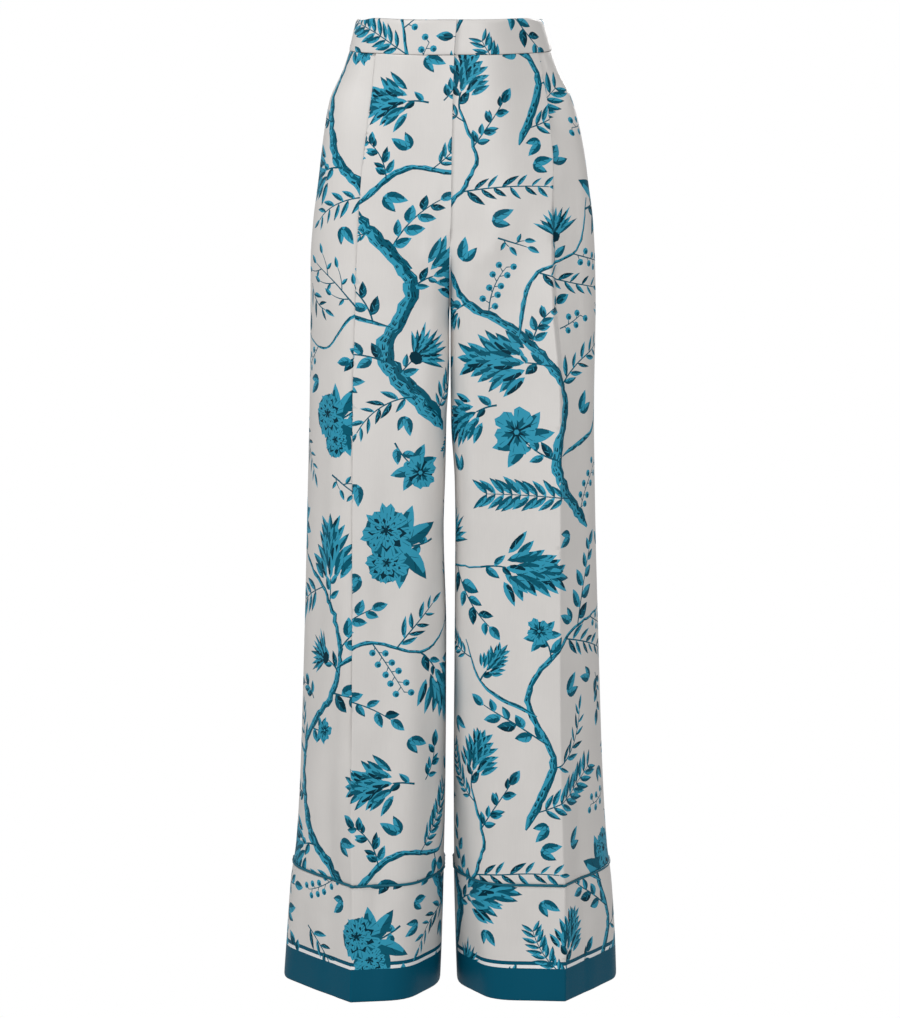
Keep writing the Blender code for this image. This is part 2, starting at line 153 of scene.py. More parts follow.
CREST = {                 # the pleat's folded edge, lower down the front crease
    "columns": ("drop", "out_right", "back_right", "out_left", "back_left"),
    "rows": (
        (0, 78, -66, 90, -51),
        (39, 84, -66, 100, -53),
        (62, 86, -69, 105, -57),
        (122, 93.5, -79, 113.5, -69),
        (169, 99, -85, 116.5, -77),
        (230, 103.5, -91, 114.5, -88),
        (280, 105.5, -95, 114.5, -93),
        (334, 107, -99, 116, -97),
        (436, 110, -105, 124, -102),
        (550, 110.5, -110, 124.5, -108),
        (722, 111, -115, 124.5, -114),
        (953, 111.5, -122, 128.5, -118),
        (1000, 110, -124, 130, -120),
        (1122, 113, -131, 131, -126),
    ),
}

PLEAT = {                 # how far it is folded shut (1) or open (0), how deep
    "columns": ("drop", "fold_right", "depth_right", "fold_left", "depth_left"),
    "rows": (
        (0, 1, 20, 1, 20),
        (85, 1, 20, 1, 20),
        (110, 1, 20, 0.95, 18),
        (140, 1, 20, 0.7, 15),
        (170, 1, 20, 0.42, 13),
        (226, 1, 20, 0.27, 12),
        (336, 1, 20, 0.2, 12),
        (450, 1, 17, 0.08, 9),
        (560, 1, 15, 0, 7),
        (680, 1, 11, 0, 6),
        (790, 0.85, 8, 0, 5),
        (860, 0.25, 6, 0, 5),
        (920, 0, 5, 0, 5),
        (1122, 0, 5, 0, 5),
    ),
}

INNER = {                 # the inseam, seen between the legs
    "columns": ("drop", "out_right", "out_left"),
    "rows": (
        (0, 1, 1),
        (400, 1.1, 1.1),
        (463, 4.5, 1.6),
        (530, 6, 5.8),
        (600, 8, 6.9),
        (720, 4.8, 5.8),
        (880, 5.8, 4.8),
        (1000, 8, 5.4),
        (1072, 10, 7),
        (1122, 12, 8.6),
    ),
}

FRONT_CORNERS = {         # two soft corners between inseam and crest, one outside
    "columns": (
        "drop", "near_out", "near_back", "face_out", "face_back", "face_cut",
        "side_back", "side_cut",
    ),
    "rows": (
        (0, 9, -92, 46, -90, 35, -36, 36),
        (39, 9, -94, 50, -92, 35, -40, 38),
        (120, 9, -99, 55, -98, 40, -44, 40),
        (200, 9, -102.5, 60, -103, 40, -47, 40),
        (246, 7, -104, 50, -105.5, 30, -48, 40),
        (270, 5, -103, 30, -107.5, 22, -48, 40),
        (300, 1.8, -94, 16, -106, 14, -47, 40),
        (334, 1.1, -84, 15, -102, 18, -46, 40),
        (400, 1.1, -79, 21, -101, 22, -44, 38),
        (463, 1.1, -76, 25, -101, 26, -43, 36),
        (600, 1.1, -71, 29, -102, 30, -41, 34),
        (722, 1.1, -67, 31, -103.5, 30, -39, 34),
        (880, 1.1, -59, 37, -108, 32, -34, 34),
        (1000, 1.1, -50, 42, -112, 28, -26, 34),
        (1122, 1.1, -42, 50, -119, 26, -14, 34),
    ),
}

BACK_CORNERS = {          # outside corner, back crease, two soft inner corners
    "columns": (
        "drop", "side_back", "side_cut", "crease_out", "crease_back", "crease_cut",
        "face_out", "face_back", "face_cut", "near_out", "near_back",
    ),
    "rows": (
        (0, 40, 38, 66, 82, 40, 34, 90, 20, 16, 90),
        (39, 42, 40, 74, 85, 40, 36, 93.5, 20, 16, 93.5),
        (120, 48, 44, 92, 99, 45, 44, 108, 25, 16, 108.5),
        (200, 54, 48, 104, 111, 50, 47, 122.5, 25, 16, 123.5),
        (250, 54, 48, 108, 114, 50, 46, 127, 25, 14, 127.5),
        (280, 53, 48, 110, 114, 44, 34, 126.5, 22, 9, 123.5),
        (305, 51, 46, 111, 113, 34, 21, 120, 17, 2.4, 110),
        (334, 48, 44, 112, 112, 20, 15, 112, 14, 1.1, 96),
        (400, 46, 40, 112, 111, 10, 15, 106, 16, 1.1, 88),
        (500, 44, 38, 112, 110, 4, 17, 103, 18, 1.1, 84),
        (720, 40, 34, 112, 110, 3, 22, 100, 20, 1.1, 72),
        (985, 34, 32, 111, 114, 3, 38, 101, 24, 1.1, 48),
        (1122, 32, 32, 110, 120, 3, 46, 107, 26, 1.1, 40),
    ),
}

FLY_LAP = {               # edges past the centre, right one on top, and the step
    "columns": ("drop", "over_right", "over_left", "set_back"),
    "rows": (
        (0, 8, 14, 2.8),
        (39, 5, 12, 2.8),
        (132, 2.4, 12, 1.7),
        (200, 1.5, 8, 1.7),
        (232, 1, 4, 1.7),
        (246, 0, 0, 1.7),
        (264, 0, 0, 0),
        (1122, 0, 0, 0),
    ),
}

SEAM_DIP = {              # how a level seam dips per millimetre of depth
    "columns": ("drop", "front", "back"),
    "rows": (
        (0, 0.1, 0.035),
        (39, 0.095, 0.03),
        (250, 0.02, 0),
        (334, 0, 0),
        (860, 0.01, 0),
        (984, 0.06, 0),
        (1122, 0.015, 0),
    ),
}

# ----------------------------------------------------------- reading the tables


def slopes(xs, ys):
    """Slopes of a smooth curve through the points that never overshoots them."""
    steps, rises = np.diff(xs), np.diff(ys)
    rates = rises / steps
    found = np.concatenate((rates[:1], np.zeros(len(xs) - 2), rates[-1:]))
    for i in range(1, len(xs) - 1):
        if rates[i - 1] * rates[i] > 0:
            w0, w1 = 2 * steps[i] + steps[i - 1], steps[i] + 2 * steps[i - 1]
            found[i] = (w0 + w1) / (w0 / rates[i - 1] + w1 / rates[i])
    return found


CURVES = {}


def read(table, column, drop):
    """Smooth values of a table's column at an array of drops."""
    key = (id(table), column)
    if key not in CURVES:
        number = table["columns"].index(column)
        xs = np.array([row[0] for row in table["rows"]], float)
        ys = np.array([row[number] for row in table["rows"]], float)
        CURVES[key] = (xs, ys, slopes(xs, ys))
    xs, ys, ms = CURVES[key]
    drop = np.clip(drop, xs[0], xs[-1])
    i = np.clip(np.searchsorted(xs, drop, side="right") - 1, 0, len(xs) - 2)
    h = xs[i + 1] - xs[i]
    t = (drop - xs[i]) / h
    start = (1 + 2 * t) * (1 - t) ** 2 * ys[i] + t * (1 - t) ** 2 * h * ms[i]
    end = t * t * (3 - 2 * t) * ys[i + 1] + t * t * (t - 1) * h * ms[i + 1]
    return start + end


def side_of(table, name, side, drop):
    """Values of a column that has its own numbers for each leg."""
    return read(table, f"{name}_{LABEL[side]}", drop)


# -------------------------------------------------------------- level sections
# A spot is an array of (out, back) rows, one for each drop.


def spot(out, back):
    """Spots from their two coordinates."""
    return np.stack(np.broadcast_arrays(np.asarray(out, float), back), axis=-1)


def step(start, heading, length):
    """Spots at a length along a heading in radians."""
    return start + spot(np.cos(heading), np.sin(heading)) * np.asarray(length)[..., None]


def heading_of(a, b):
    """Heading from a to b in radians."""
    return np.arctan2(b[:, 1] - a[:, 1], b[:, 0] - a[:, 0])


def mix(a, b, share):
    """Spots at a share of the way from a to b."""
    return a + (b - a) * np.asarray(share)[..., None]


def quarter_turn(drop, start, end):
    """Falls from 1 to 0 between two drops, as an ellipse does."""
    return np.sqrt(1 - np.clip((drop - start) / (end - start), 0, 1) ** 2)


def front_seam(drop):
    """Depth of the centre front, the crotch seam and then the inseam."""
    curve = -FRONT_DEPTH * quarter_turn(drop, FLY_END, CROTCH)
    return np.where(drop < FLY_END, read(FRONT_CORNERS, "near_back", drop), curve)


def back_seam(drop):
    """Depth of the centre back, the crotch seam and then the inseam."""
    curve = SEAT_DEPTH * quarter_turn(drop, SEAT_TURN, CROTCH)
    return np.where(drop < SEAT_TURN, read(BACK_CORNERS, "near_back", drop), curve)


def clear_of_centre(back, near):
    """Inner end of a section, off the centre plane by half a seam gap."""
    out = np.full(len(near), SEAM_GAP / 2)
    for _ in range(3):
        lean = np.abs(np.sin(heading_of(spot(out, back), near)))
        out = SEAM_GAP / 2 + (CLOTH / 2 + CENTRE_SPACE) * np.minimum(1.0, LEAN_REACH * lean)
    return spot(out, back)


def corner(table, name, drop):
    """A corner with both its coordinates in a table."""
    return spot(read(table, name + "_out", drop), read(table, name + "_back", drop))


def near_corner(table, side, drop):
    """The corner between the inner face and the front or back face."""
    above = read(table, "near_out", drop)
    below = side_of(INNER, "out", side, drop)
    return spot(np.where(drop > CROTCH, below, above), read(table, "near_back", drop))


def near_cut(drop):
    """How much the inner corner is cut."""
    return np.interp(drop, (CROTCH + NEAR_TURN[0], CROTCH + NEAR_TURN[1]), NEAR_CUTS)


def pleat_corners(side, drop, face, outer):
    """Crest, return and valley of the pleat, then the bend beside the crest."""
    crest = spot(side_of(CREST, "out", side, drop), side_of(CREST, "back", side, drop))
    fold = side_of(PLEAT, "fold", side, drop)
    depth = side_of(PLEAT, "depth", side, drop)
    ahead = heading_of(face, crest)
    open_turn = heading_of(crest, outer) - ahead
    turn = open_turn + fold * (PRESSED * pi / 180 - open_turn)
    second = step(crest, ahead + turn / 2, FOLD_STEP)
    valley = step(second, ahead + turn, depth)
    onward = heading_of(valley, outer)
    after = step(valley, (ahead + turn + onward) / 2, FOLD_STEP)
    over = step(crest, ahead, SHUT_BEND)
    shut = step(over, ahead + pi / 2, 2 * FOLD_STEP + FOLD_SPACE)
    midway = mix(after, outer, BOW_SHARE)
    bowed = step(midway, heading_of(after, outer) - pi / 2, SIDE_BOW)
    return crest, second, valley, after, mix(bowed, shut, fold)


def outer_corners(side, drop):
    """Face corner, outside corner and side seam of a front and its waistband."""
    outer = spot(side_of(SIDE, "out", side, drop), read(FRONT_CORNERS, "side_back", drop))
    end = spot(outer[:, 0], read(SIDE, "seam_back", drop) - SEAM_GAP / 2)
    return corner(FRONT_CORNERS, "face", drop), outer, end


def front_corners(side, drop):
    """Corners of a front's section and how much each is cut, from the centre outward."""
    near = near_corner(FRONT_CORNERS, side, drop)
    face, outer, end = outer_corners(side, drop)
    lapped = spot(SEAM_GAP / 2 - side_of(FLY_LAP, "over", side, drop), front_seam(drop))
    curved = clear_of_centre(front_seam(drop), near)
    start = np.where((drop < FLY_END)[:, None], lapped, curved)
    start = np.where((drop >= CROTCH)[:, None], spot(near[:, 0], -SEAM_GAP / 2), start)
    if side == LEFT:
        behind = read(FLY_LAP, "set_back", drop)
        start[:, 1] += behind
        near[:, 1] += behind
    spots = [start, near, face, *pleat_corners(side, drop, face, outer), outer, end]
    cuts = [0.0, near_cut(drop), read(FRONT_CORNERS, "face_cut", drop), *[FOLD_STEP / 2] * 4,
            BEND_CUT, read(FRONT_CORNERS, "side_cut", drop), 0.0]
    return spots, cuts


def back_corners(side, drop):
    """Corners of a back's section and their cuts, from the side seam inward."""
    out = side_of(SIDE, "out", side, drop)
    near = near_corner(BACK_CORNERS, side, drop)
    seam = clear_of_centre(back_seam(drop), near)
    inseam = spot(near[:, 0], SEAM_GAP / 2)
    spots = [spot(out, read(SIDE, "seam_back", drop) + SEAM_GAP / 2),
             spot(out, read(BACK_CORNERS, "side_back", drop)),
             corner(BACK_CORNERS, "crease", drop), corner(BACK_CORNERS, "face", drop), near,
             np.where((drop < CROTCH)[:, None], seam, inseam)]
    cuts = [read(BACK_CORNERS, name + "_cut", drop) for name in ("side", "crease", "face")]
    return spots, [0.0, *cuts, near_cut(drop), 0.0]


def band_corners(side, drop):
    """Corners of a front waistband's section and their cuts, from the centre outward."""
    depth = front_seam(drop) + (BAND_CLOTH + LAP_SPACE if side == LEFT else 0.0)
    lapped = spot(SEAM_GAP / 2 - side_of(FLY_LAP, "over", side, drop), depth)
    spots = [lapped, spot(LAP_STEP, depth), *outer_corners(side, drop)]
    return spots, [0.0, LAP_CUT, *BAND_CUTS, 0.0]


def rounded(corners, faces):
    """Sections along the corners, each corner cut off by a curve: one array of spots
    for each point of the section, crowded up to both ends."""
    spots, cuts = corners
    last = len(spots) - 1
    runs = [np.hypot(*(b - a).T) for a, b in zip(spots, spots[1:])]
    shares = []
    for i, run in enumerate(runs):
        kept = KEPT if faces["spans"][i] else 1.0
        shares.append(np.minimum(1.0, kept * run / (cuts[i] + cuts[i + 1])))
    reach = [0 * runs[0]]
    for i in range(1, last):
        reach.append(cuts[i] * np.minimum(shares[i - 1], shares[i]))
    reach.append(0 * runs[-1])
    points = [spots[0]]
    for i in range(1, last + 1):
        a, b, run = spots[i - 1], spots[i], runs[i - 1]
        begin, finish = mix(a, b, reach[i - 1] / run), mix(a, b, 1 - reach[i] / run)
        width = np.hypot(*(finish - begin).T)
        edge = np.minimum(EDGE_WIDTH, width / 3) / np.maximum(width, 1e-6)
        stops = []
        if i == 1:
            stops += [edge * share for share in EDGE]
        span = faces["spans"][i - 1]
        low = edge if i == 1 else 0 * edge
        high = 1 - edge if i == last else 1 + 0 * edge
        stops += [low + (high - low) * k / span for k in range(1, span + 1)]
        if i == last:
            stops += [1 - edge * share for share in EDGE[-2::-1]] + [1 + 0 * edge]
        points += [mix(begin, finish, stop) for stop in stops]
        if not span:
            points[-1] = mix(begin, finish, 0.5 + 0 * edge)
        if i == last:
            break
        leave = mix(b, spots[i + 1], reach[i] / runs[i])
        count = faces["corners"][i - 1]
        for k in range(1, count + 1):
            t = np.full(len(run), k / count)
            points.append(mix(mix(finish, b, t), mix(b, leave, t), t))
    return points


# ---------------------------------------------------------------- cut pieces


class Cut:
    """A cut piece: a grid of places on the leg, and the same grid laid flat."""

    def __init__(self, side, places, drops, middle):
        gaps = np.linalg.norm(np.diff(places[..., :2], axis=1), axis=2)
        run = np.concatenate((np.zeros((len(places), 1)), np.cumsum(gaps, axis=1)), axis=1)
        self.side = side
        self.places = places      # rows, points along a row, XYZ in millimetres
        self.drops = drops        # rows
        self.across = run - run[:, middle:middle + 1]
        level = np.broadcast_to(drops[:, None], self.across.shape)
        self.flat = np.stack((self.across, level), axis=2)
        self.centre_edge = None   # name of the edge at the centre seam
        self.lapped = False       # whether its start laps over the other front
        self.find_normals()

    def find_normals(self):
        """Outward normals of the grid."""
        level, down = np.gradient(self.places, axis=(1, 0))
        normals = -self.side * np.cross(level, down)
        length = np.linalg.norm(normals, axis=2, keepdims=True)
        self.normals = normals / np.maximum(length, 1e-9)

    def push(self, height):
        """Moves each place out along its normal by a height in millimetres."""
        self.places = self.places + self.normals * height[..., None]
        self.find_normals()

    def border(self):
        """Flat outline of the piece, once round."""
        flat = self.flat
        return np.vstack((flat[0], flat[1:, -1], flat[-1, -2::-1], flat[-2:0:-1, 0]))

    def inside(self, row_step, point_step):
        """Flat spots inside the piece, every so many rows and points, and every one
        near its edges."""
        near = len(EDGE) + 1
        last = len(self.drops) - 1
        found = []
        for r in range(1, last):
            spots = self.flat[r, 1:-1]
            if near <= r <= last - near:
                middle = spots[near:-near:point_step] if r % row_step == 0 else spots[:0]
                spots = np.concatenate((spots[:near], middle, spots[-near:]))
            found.append(spots)
        return np.vstack(found)

    def edge_lines(self):
        """Flat lines that run beside the edges of the piece."""
        near = len(EDGE) + 1
        lines = [*range(1, near), *range(-near, -1)]
        return [self.flat[r] for r in lines] + [self.flat[:, k] for k in lines]

    def holds(self, spots):
        """Whether each flat spot lies on the piece."""
        start = np.interp(spots[:, 1], self.drops, self.across[:, 0])
        end = np.interp(spots[:, 1], self.drops, self.across[:, -1])
        level = (spots[:, 1] > self.drops[0]) & (spots[:, 1] < self.drops[-1])
        return level & (spots[:, 0] > start) & (spots[:, 0] < end)

    def fitted(self, flat):
        """Places and normals of flat spots on the leg."""
        places, normals = self.blended(flat, (self.places, self.normals))
        length = np.linalg.norm(normals, axis=1, keepdims=True)
        return places, normals / np.maximum(length, 1e-9)

    def blended(self, flat, fields):
        """Values of the grid's fields at flat spots."""
        r = np.clip(np.searchsorted(self.drops, flat[:, 1], side="right") - 1,
                    0, len(self.drops) - 2)
        f = (flat[:, 1] - self.drops[r]) / (self.drops[r + 1] - self.drops[r])
        f = np.clip(f, 0, 1)[:, None]
        rows = self.across[r] * (1 - f) + self.across[r + 1] * f
        k = np.clip((rows <= flat[:, :1]).sum(axis=1) - 1, 0, rows.shape[1] - 2)
        n = np.arange(len(flat))
        g = (flat[:, 0] - rows[n, k]) / np.maximum(rows[n, k + 1] - rows[n, k], 1e-9)
        g = np.clip(g, 0, 1)[:, None]
        found = []
        for field in fields:
            upper = field[r, k] * (1 - g) + field[r, k + 1] * g
            lower = field[r + 1, k] * (1 - g) + field[r + 1, k + 1] * g
            found.append(upper * (1 - f) + lower * f)
        return found

    def bends(self):
        """How sharply the rows bend at each place, in radians per millimetre."""
        turn = np.linalg.norm(np.gradient(self.normals, axis=1), axis=2)
        return (turn / np.maximum(np.gradient(self.across, axis=1), 1e-6))[..., None]

    def divided(self, outlines):
        """The outlines with points added to their long edges, most where the piece bends."""
        lengths = [len(outline) for outline in outlines]
        spots = np.vstack(outlines)
        ends = np.vstack([np.roll(outline, -1, axis=0) for outline in outlines])
        bends = (self.bends(),)
        bend = self.blended((spots + ends) / 2, bends)[0][:, 0]
        for share in (0.2, 0.8):
            near = self.blended(spots + (ends - spots) * share, bends)[0][:, 0]
            bend = np.maximum(bend, near)
        longest = np.clip(np.sqrt(8 * CHORD / np.maximum(bend, 1e-6)), *CHORD_STEPS)
        counts = np.maximum(1, np.ceil(np.hypot(*(ends - spots).T) / longest)).astype(int)
        found, first = [], 0
        for length in lengths:
            parts = []
            for i in range(first, first + length):
                share = (np.arange(counts[i]) / counts[i])[:, None]
                parts.append(spots[i] + (ends[i] - spots[i]) * share)
            found.append(np.vstack(parts))
            first += length
        return found


def place(side, points, drops):
    """XYZ of a section's points, with the dip of level seams to the front."""
    grid = np.stack(points, axis=1)
    out, back = grid[..., 0], grid[..., 1]
    dip = read(SEAM_DIP, "front", drops)[:, None] * np.maximum(0, -back)
    dip += read(SEAM_DIP, "back", drops)[:, None] * np.maximum(0, back)
    return np.stack((side * out, back, WAIST_TOP - drops[:, None] - dip), axis=2)


def lower_corners(cut):
    """Lowers the waistband's top edge at the sides, so that its corners look round."""
    out = np.abs(cut.places[..., 0])
    share = np.clip((out - CORNER_OUT[0]) / (CORNER_OUT[1] - CORNER_OUT[0]), 0, 1)
    share = share * share * (3 - 2 * share)
    cut.places[..., 2] -= CORNER_DROP * share * np.exp(-cut.drops[:, None] / CORNER_FADE)
    cut.find_normals()


def row_drops(top, bottom):
    """Drops of a piece's rows, crowded at both ends and where the crotch seam turns."""
    edge = [EDGE_WIDTH * share for share in EDGE]
    count = round((bottom - top - 2 * EDGE_WIDTH) / ROW_STEP)
    drops = list(np.linspace(top + EDGE_WIDTH, bottom - EDGE_WIDTH, count + 1))
    if top < FLY_END < bottom:
        clear = (FLY_END - TURN_CLEAR[0], CROTCH + TURN_CLEAR[1])
        drops = [d for d in drops if not clear[0] < d < clear[1]]
        turn = np.linspace(0, pi / 2, TURN_ROWS)
        drops += list(FLY_END + (CROTCH - FLY_END) * np.sin(turn)) + [CROTCH + TURN_PAST]
    drops += [top] + [top + e for e in edge[:-1]] + [bottom] + [bottom - e for e in edge[:-1]]
    return np.array(sorted(drops))


def mid_point(faces, number):
    """Index along a section of the middle of one of its rounded corners."""
    before = len(EDGE) + sum(faces["spans"][:number]) + sum(faces["corners"][:number - 1])
    return before + faces["corners"][number - 1] // 2


def roll(cut, top_roll=0.0):
    """Turns a piece's edges in at its seams, but not where it faces sideways against its
    neighbour, and rounds its top over by a roll of its own."""
    depth = np.zeros_like(cut.across)
    drops = cut.drops[:, None]
    sideways = np.abs(cut.normals[..., 0])
    away = {
        "start": cut.across - cut.across[:, :1], "end": cut.across[:, -1:] - cut.across,
        "top": drops - drops[0], "bottom": drops[-1] - drops,
    }
    for name, distance in away.items():
        turned_in = np.exp(-distance / ROLL_REACH)
        if name == cut.centre_edge:
            turned_in *= 1 - sideways
        if name == "start" and cut.lapped:
            turned_in = turned_in * (drops > FLY_END)
        depth = np.maximum(depth, turned_in)
    climb = np.clip(1 - away["top"] / TOP_REACH, 0, 1)
    over = top_roll * (1 - np.sqrt(1 - climb * climb))
    cut.push(-np.maximum(SEAM_ROLL * depth, over))


# ------------------------------------------------------------------ the print

GROUND, LIGHT, DARK, DEEP = range(4)
TILE = (680.0, 780.0)     # repeat of the print, across and down
CELL = 4.0                # cells of the map that keeps motifs apart
PATH_STEP = 7.0           # between the points of a stem

VINES = {                 # stems of the print, from the thick end to the tip
    "columns": ("thick", "tip", "route"),
    "rows": (
        (21.0, 4.5, ((310, 800), (236, 716), (262, 634), (190, 550), (116, 484), (100, 392),
                     (158, 306), (146, 226), (78, 168))),
        (8.0, 1.8, ((192, 548), (252, 500), (322, 504), (366, 452), (430, 446))),
        (7.0, 1.6, ((104, 404), (40, 366), (18, 298), (-36, 262))),
        (6.5, 1.6, ((156, 292), (216, 262), (284, 272), (330, 232))),
        (16.0, 3.4, ((574, 404), (518, 336), (532, 252), (478, 180), (414, 136), (392, 60),
                     (428, -14), (412, -78))),
        (6.5, 1.6, ((525, 320), (590, 288), (610, 220), (662, 196))),
        (6.0, 1.6, ((480, 184), (500, 116), (562, 86), (578, 26))),
        (11.0, 2.4, ((478, 744), (512, 668), (484, 592), (538, 524), (610, 500))),
        (5.5, 1.5, ((494, 616), (434, 582), (408, 530))),
        (5.5, 1.5, ((242, 684), (164, 668), (116, 708), (58, 694))),
    ),
}


def turned(points, heading, at):
    """Points turned to a heading and moved to a place."""
    c, s = cos(heading), sin(heading)
    points = np.asarray(points, float)
    return points @ np.array(((c, s), (-s, c))) + np.asarray(at, float)


def smooth_path(route):
    """Points about PATH_STEP apart on a smooth curve through a route."""
    route = np.asarray(route, float)
    ends = np.vstack((2 * route[0] - route[1], route, 2 * route[-1] - route[-2]))
    found = []
    for a, b, c, d in zip(ends, ends[1:], ends[2:], ends[3:]):
        count = max(2, round(hypot(*(c - b)) / PATH_STEP))
        for t in np.arange(count) / count:
            found.append(0.5 * (2 * b + (c - a) * t + (2 * a - 5 * b + 4 * c - d) * t * t
                                + (3 * b - a - 3 * c + d) * t ** 3))
    found.append(route[-1])
    return np.array(found)


def headings(path):
    """Heading in radians at each point of a path."""
    run = np.gradient(path, axis=0)
    return np.unwrap(np.arctan2(run[:, 1], run[:, 0]))


def rays(turn):
    """Unit steps along an array of headings."""
    return np.stack((np.cos(turn), np.sin(turn)), axis=1)


def ray(heading):
    """Unit step along one heading."""
    return np.array((cos(heading), sin(heading)))


def aside(run):
    """A step turned a quarter to its left."""
    return np.array((-run[1], run[0]))


def walk(path):
    """A path's place and heading at any distance along it, and its length."""
    turn = headings(path)
    run = np.r_[0, np.cumsum(np.hypot(*np.diff(path, axis=0).T))]

    def find(at):
        return [np.interp(at, run, path[:, k]) for k in (0, 1)], np.interp(at, run, turn)

    return find, run[-1]


def beside(turn):
    """Unit steps to the side of an array of headings."""
    return np.stack((-np.sin(turn), np.cos(turn)), axis=1)


def ribbon(path, widths):
    """Outline of a stem along a path."""
    across = beside(headings(path)) * np.asarray(widths)[:, None] / 2
    return np.vstack((path + across, (path - across)[::-1]))


def rib(path, thick, thin):
    """A dark stem that thins along a path."""
    return [(DARK, ribbon(path, np.linspace(thick, thin, len(path))))]


def stroke(start, end, width):
    """Short tapered line."""
    run = np.asarray(end, float) - start
    across = aside(run) * width / 2 / max(hypot(*run), 1e-6)
    return np.array((start + across, end + across * 0.4, end - across * 0.4, start - across))


def disc(at, radius, count=8):
    """Round outline."""
    return rays(2 * pi * np.arange(count) / count) * radius + np.asarray(at)


def star(at, inner, outer, count, turn):
    """Outline with points."""
    angle = turn + pi * np.arange(2 * count) / count
    radius = np.where(np.arange(2 * count) % 2, inner, outer)
    return rays(angle) * radius[:, None] + at


LEAF_RUN = np.linspace(0, 1, 7)
LEAF_FORM = np.sin(pi * LEAF_RUN ** 0.85) ** 0.9
LEAF_INKS = ((LIGHT, DARK), (DARK, LIGHT), (LIGHT, DARK), (DARK, DEEP))
THISTLE_INKS = ((LIGHT, DARK), (DARK, LIGHT), (LIGHT, DEEP))
TASSEL_INKS = (*THISTLE_INKS, (LIGHT, DARK))
VEINED = 17.0             # length from which a leaf has veins
LINED = 11.0              # size from which a petal has fine lines
FERN_PAIRS = 10
THISTLE_ROWS = ((1.0, 0.95, 11), (0.8, 0.8, 9), (0.52, 0.6, 7))  # reach, spread, petals
TASSEL_ROWS = (5, 6, 6, 5, 4, 3)  # leaves
PETAL = (                 # distance and share of the half angle, round a petal
    (0.1, -0.5), (0.6, -0.95), (0.86, -0.8), (1.0, -0.45), (0.9, -0.1), (0.97, 0.3),
    (0.84, 0.8), (0.6, 0.95), (0.1, 0.5),
)
PETAL_FOLD = (
    (0.1, -0.4), (0.5, -0.6), (0.42, -0.25), (0.66, 0.05), (0.44, 0.35), (0.54, 0.62),
    (0.1, 0.4),
)


def leaf(at, heading, length, width, curl=0.15, inks=(LIGHT, DARK)):
    """A leaf with its shaded half, and veins if it is large."""
    mid = np.stack((length * LEAF_RUN, curl * length * LEAF_RUN ** 2), axis=1)
    upper, lower = mid.copy(), mid.copy()
    upper[:, 1] += width / 2 * LEAF_FORM
    lower[:, 1] -= width / 2 * LEAF_FORM
    parts = [(inks[0], np.concatenate((upper, lower[-2:0:-1]))),
             (inks[1], np.concatenate((mid[1:-1], lower[-2:0:-1])))]
    if length > VEINED:
        vein = LIGHT if DEEP in inks else DEEP
        for k, side in ((2, upper), (3, lower), (4, upper)):
            parts.append((vein, stroke(mid[k - 1], (mid[k] + 2 * side[k]) / 3, 0.75)))
    return [(ink, turned(outline, heading, at)) for ink, outline in parts]


def spray(draw, path, spacing, length, width, stem, tipped):
    """A twig with alternate leaves that shrink towards its tip."""
    find, reach = walk(path)
    shapes = rib(path, stem, stem * 0.6)
    sign, at = 1, spacing * 0.7
    while at < reach - spacing * 0.3:
        share = at / reach
        base, turn = find(at)
        size = length * (1.05 - 0.4 * share) * draw.uniform(0.82, 1.12)
        shapes += leaf(base, turn + sign * draw.uniform(0.7, 1.1), size,
                       width * size / length * draw.uniform(0.85, 1.15), -0.18 * sign,
                       LEAF_INKS[draw.randrange(4)])
        sign = -sign
        at += spacing * draw.uniform(0.75, 1.15)
    if tipped:
        shapes += leaf(path[-1], headings(path)[-1], length * 0.8, width * 0.8, 0.1)
    return shapes


def petals(draw, at, radius, count, turn, fold=DARK):
    """Ragged petals in a ring, each with a darker fold and fine lines."""
    half = pi / count
    shapes = []
    for k in range(count):
        mid = turn + 2 * pi * (k + draw.uniform(-0.12, 0.12)) / count
        size = radius * draw.uniform(0.86, 1.1)
        for tone, ring in ((LIGHT, PETAL), (fold, PETAL_FOLD)):
            outline = []
            for r, a in ring:
                reach = size * r * draw.uniform(0.95, 1.05)
                outline.append(reach * ray(mid + half * a))
            shapes.append((tone, np.array(outline) + at))
        if size > LINED:
            for a in (-0.5, 0.45):
                line = ray(mid + half * a)
                shapes.append((fold, stroke(at + line * size * 0.88, at + line * size * 0.6, 0.8)))
    return shapes


def blossom(draw, at, radius, turn):
    """An open five-petal flower."""
    return [(DEEP, disc(at, radius * 0.7, 10)), *petals(draw, at, radius, 5, turn),
            (DEEP, star(at, radius * 0.16, radius * 0.42, 7, turn)),
            (LIGHT, disc(at, radius * 0.12, 6))]


def rose(draw, at, radius, turn):
    """A full flower: rings of petals, darker towards the heart."""
    heart = at + radius * 0.1 * ray(turn + 1)
    return [(DARK, disc(at, radius * 0.86, 12)), *petals(draw, at, radius, 8, turn),
            (DEEP, star(at, radius * 0.5, radius * 0.72, 8, turn)),
            *petals(draw, heart, radius * 0.68, 6, turn + 0.3),
            (DEEP, star(heart, radius * 0.28, radius * 0.46, 6, turn + 0.3)),
            *petals(draw, heart, radius * 0.42, 5, turn + 0.7, DEEP),
            (DEEP, disc(heart, radius * 0.1, 6))]


def bud(at, heading, length):
    """A closed bud in two sepals."""
    shapes = leaf(at, heading, length, length * 0.56, 0.0)
    for lean in (0.42, -0.42):
        curl = -0.3 if lean > 0 else 0.3
        shapes += leaf(at, heading + lean, length * 0.62, length * 0.26, curl, (DARK, DEEP))
    return shapes


def curved(at, heading, length, bend):
    """Path from a place that bends steadily."""
    count = max(4, round(length / PATH_STEP))
    steps = rays(heading + bend * np.linspace(0, 1, count)) * length / count
    return np.vstack((at, np.asarray(at) + np.cumsum(steps, axis=0)))


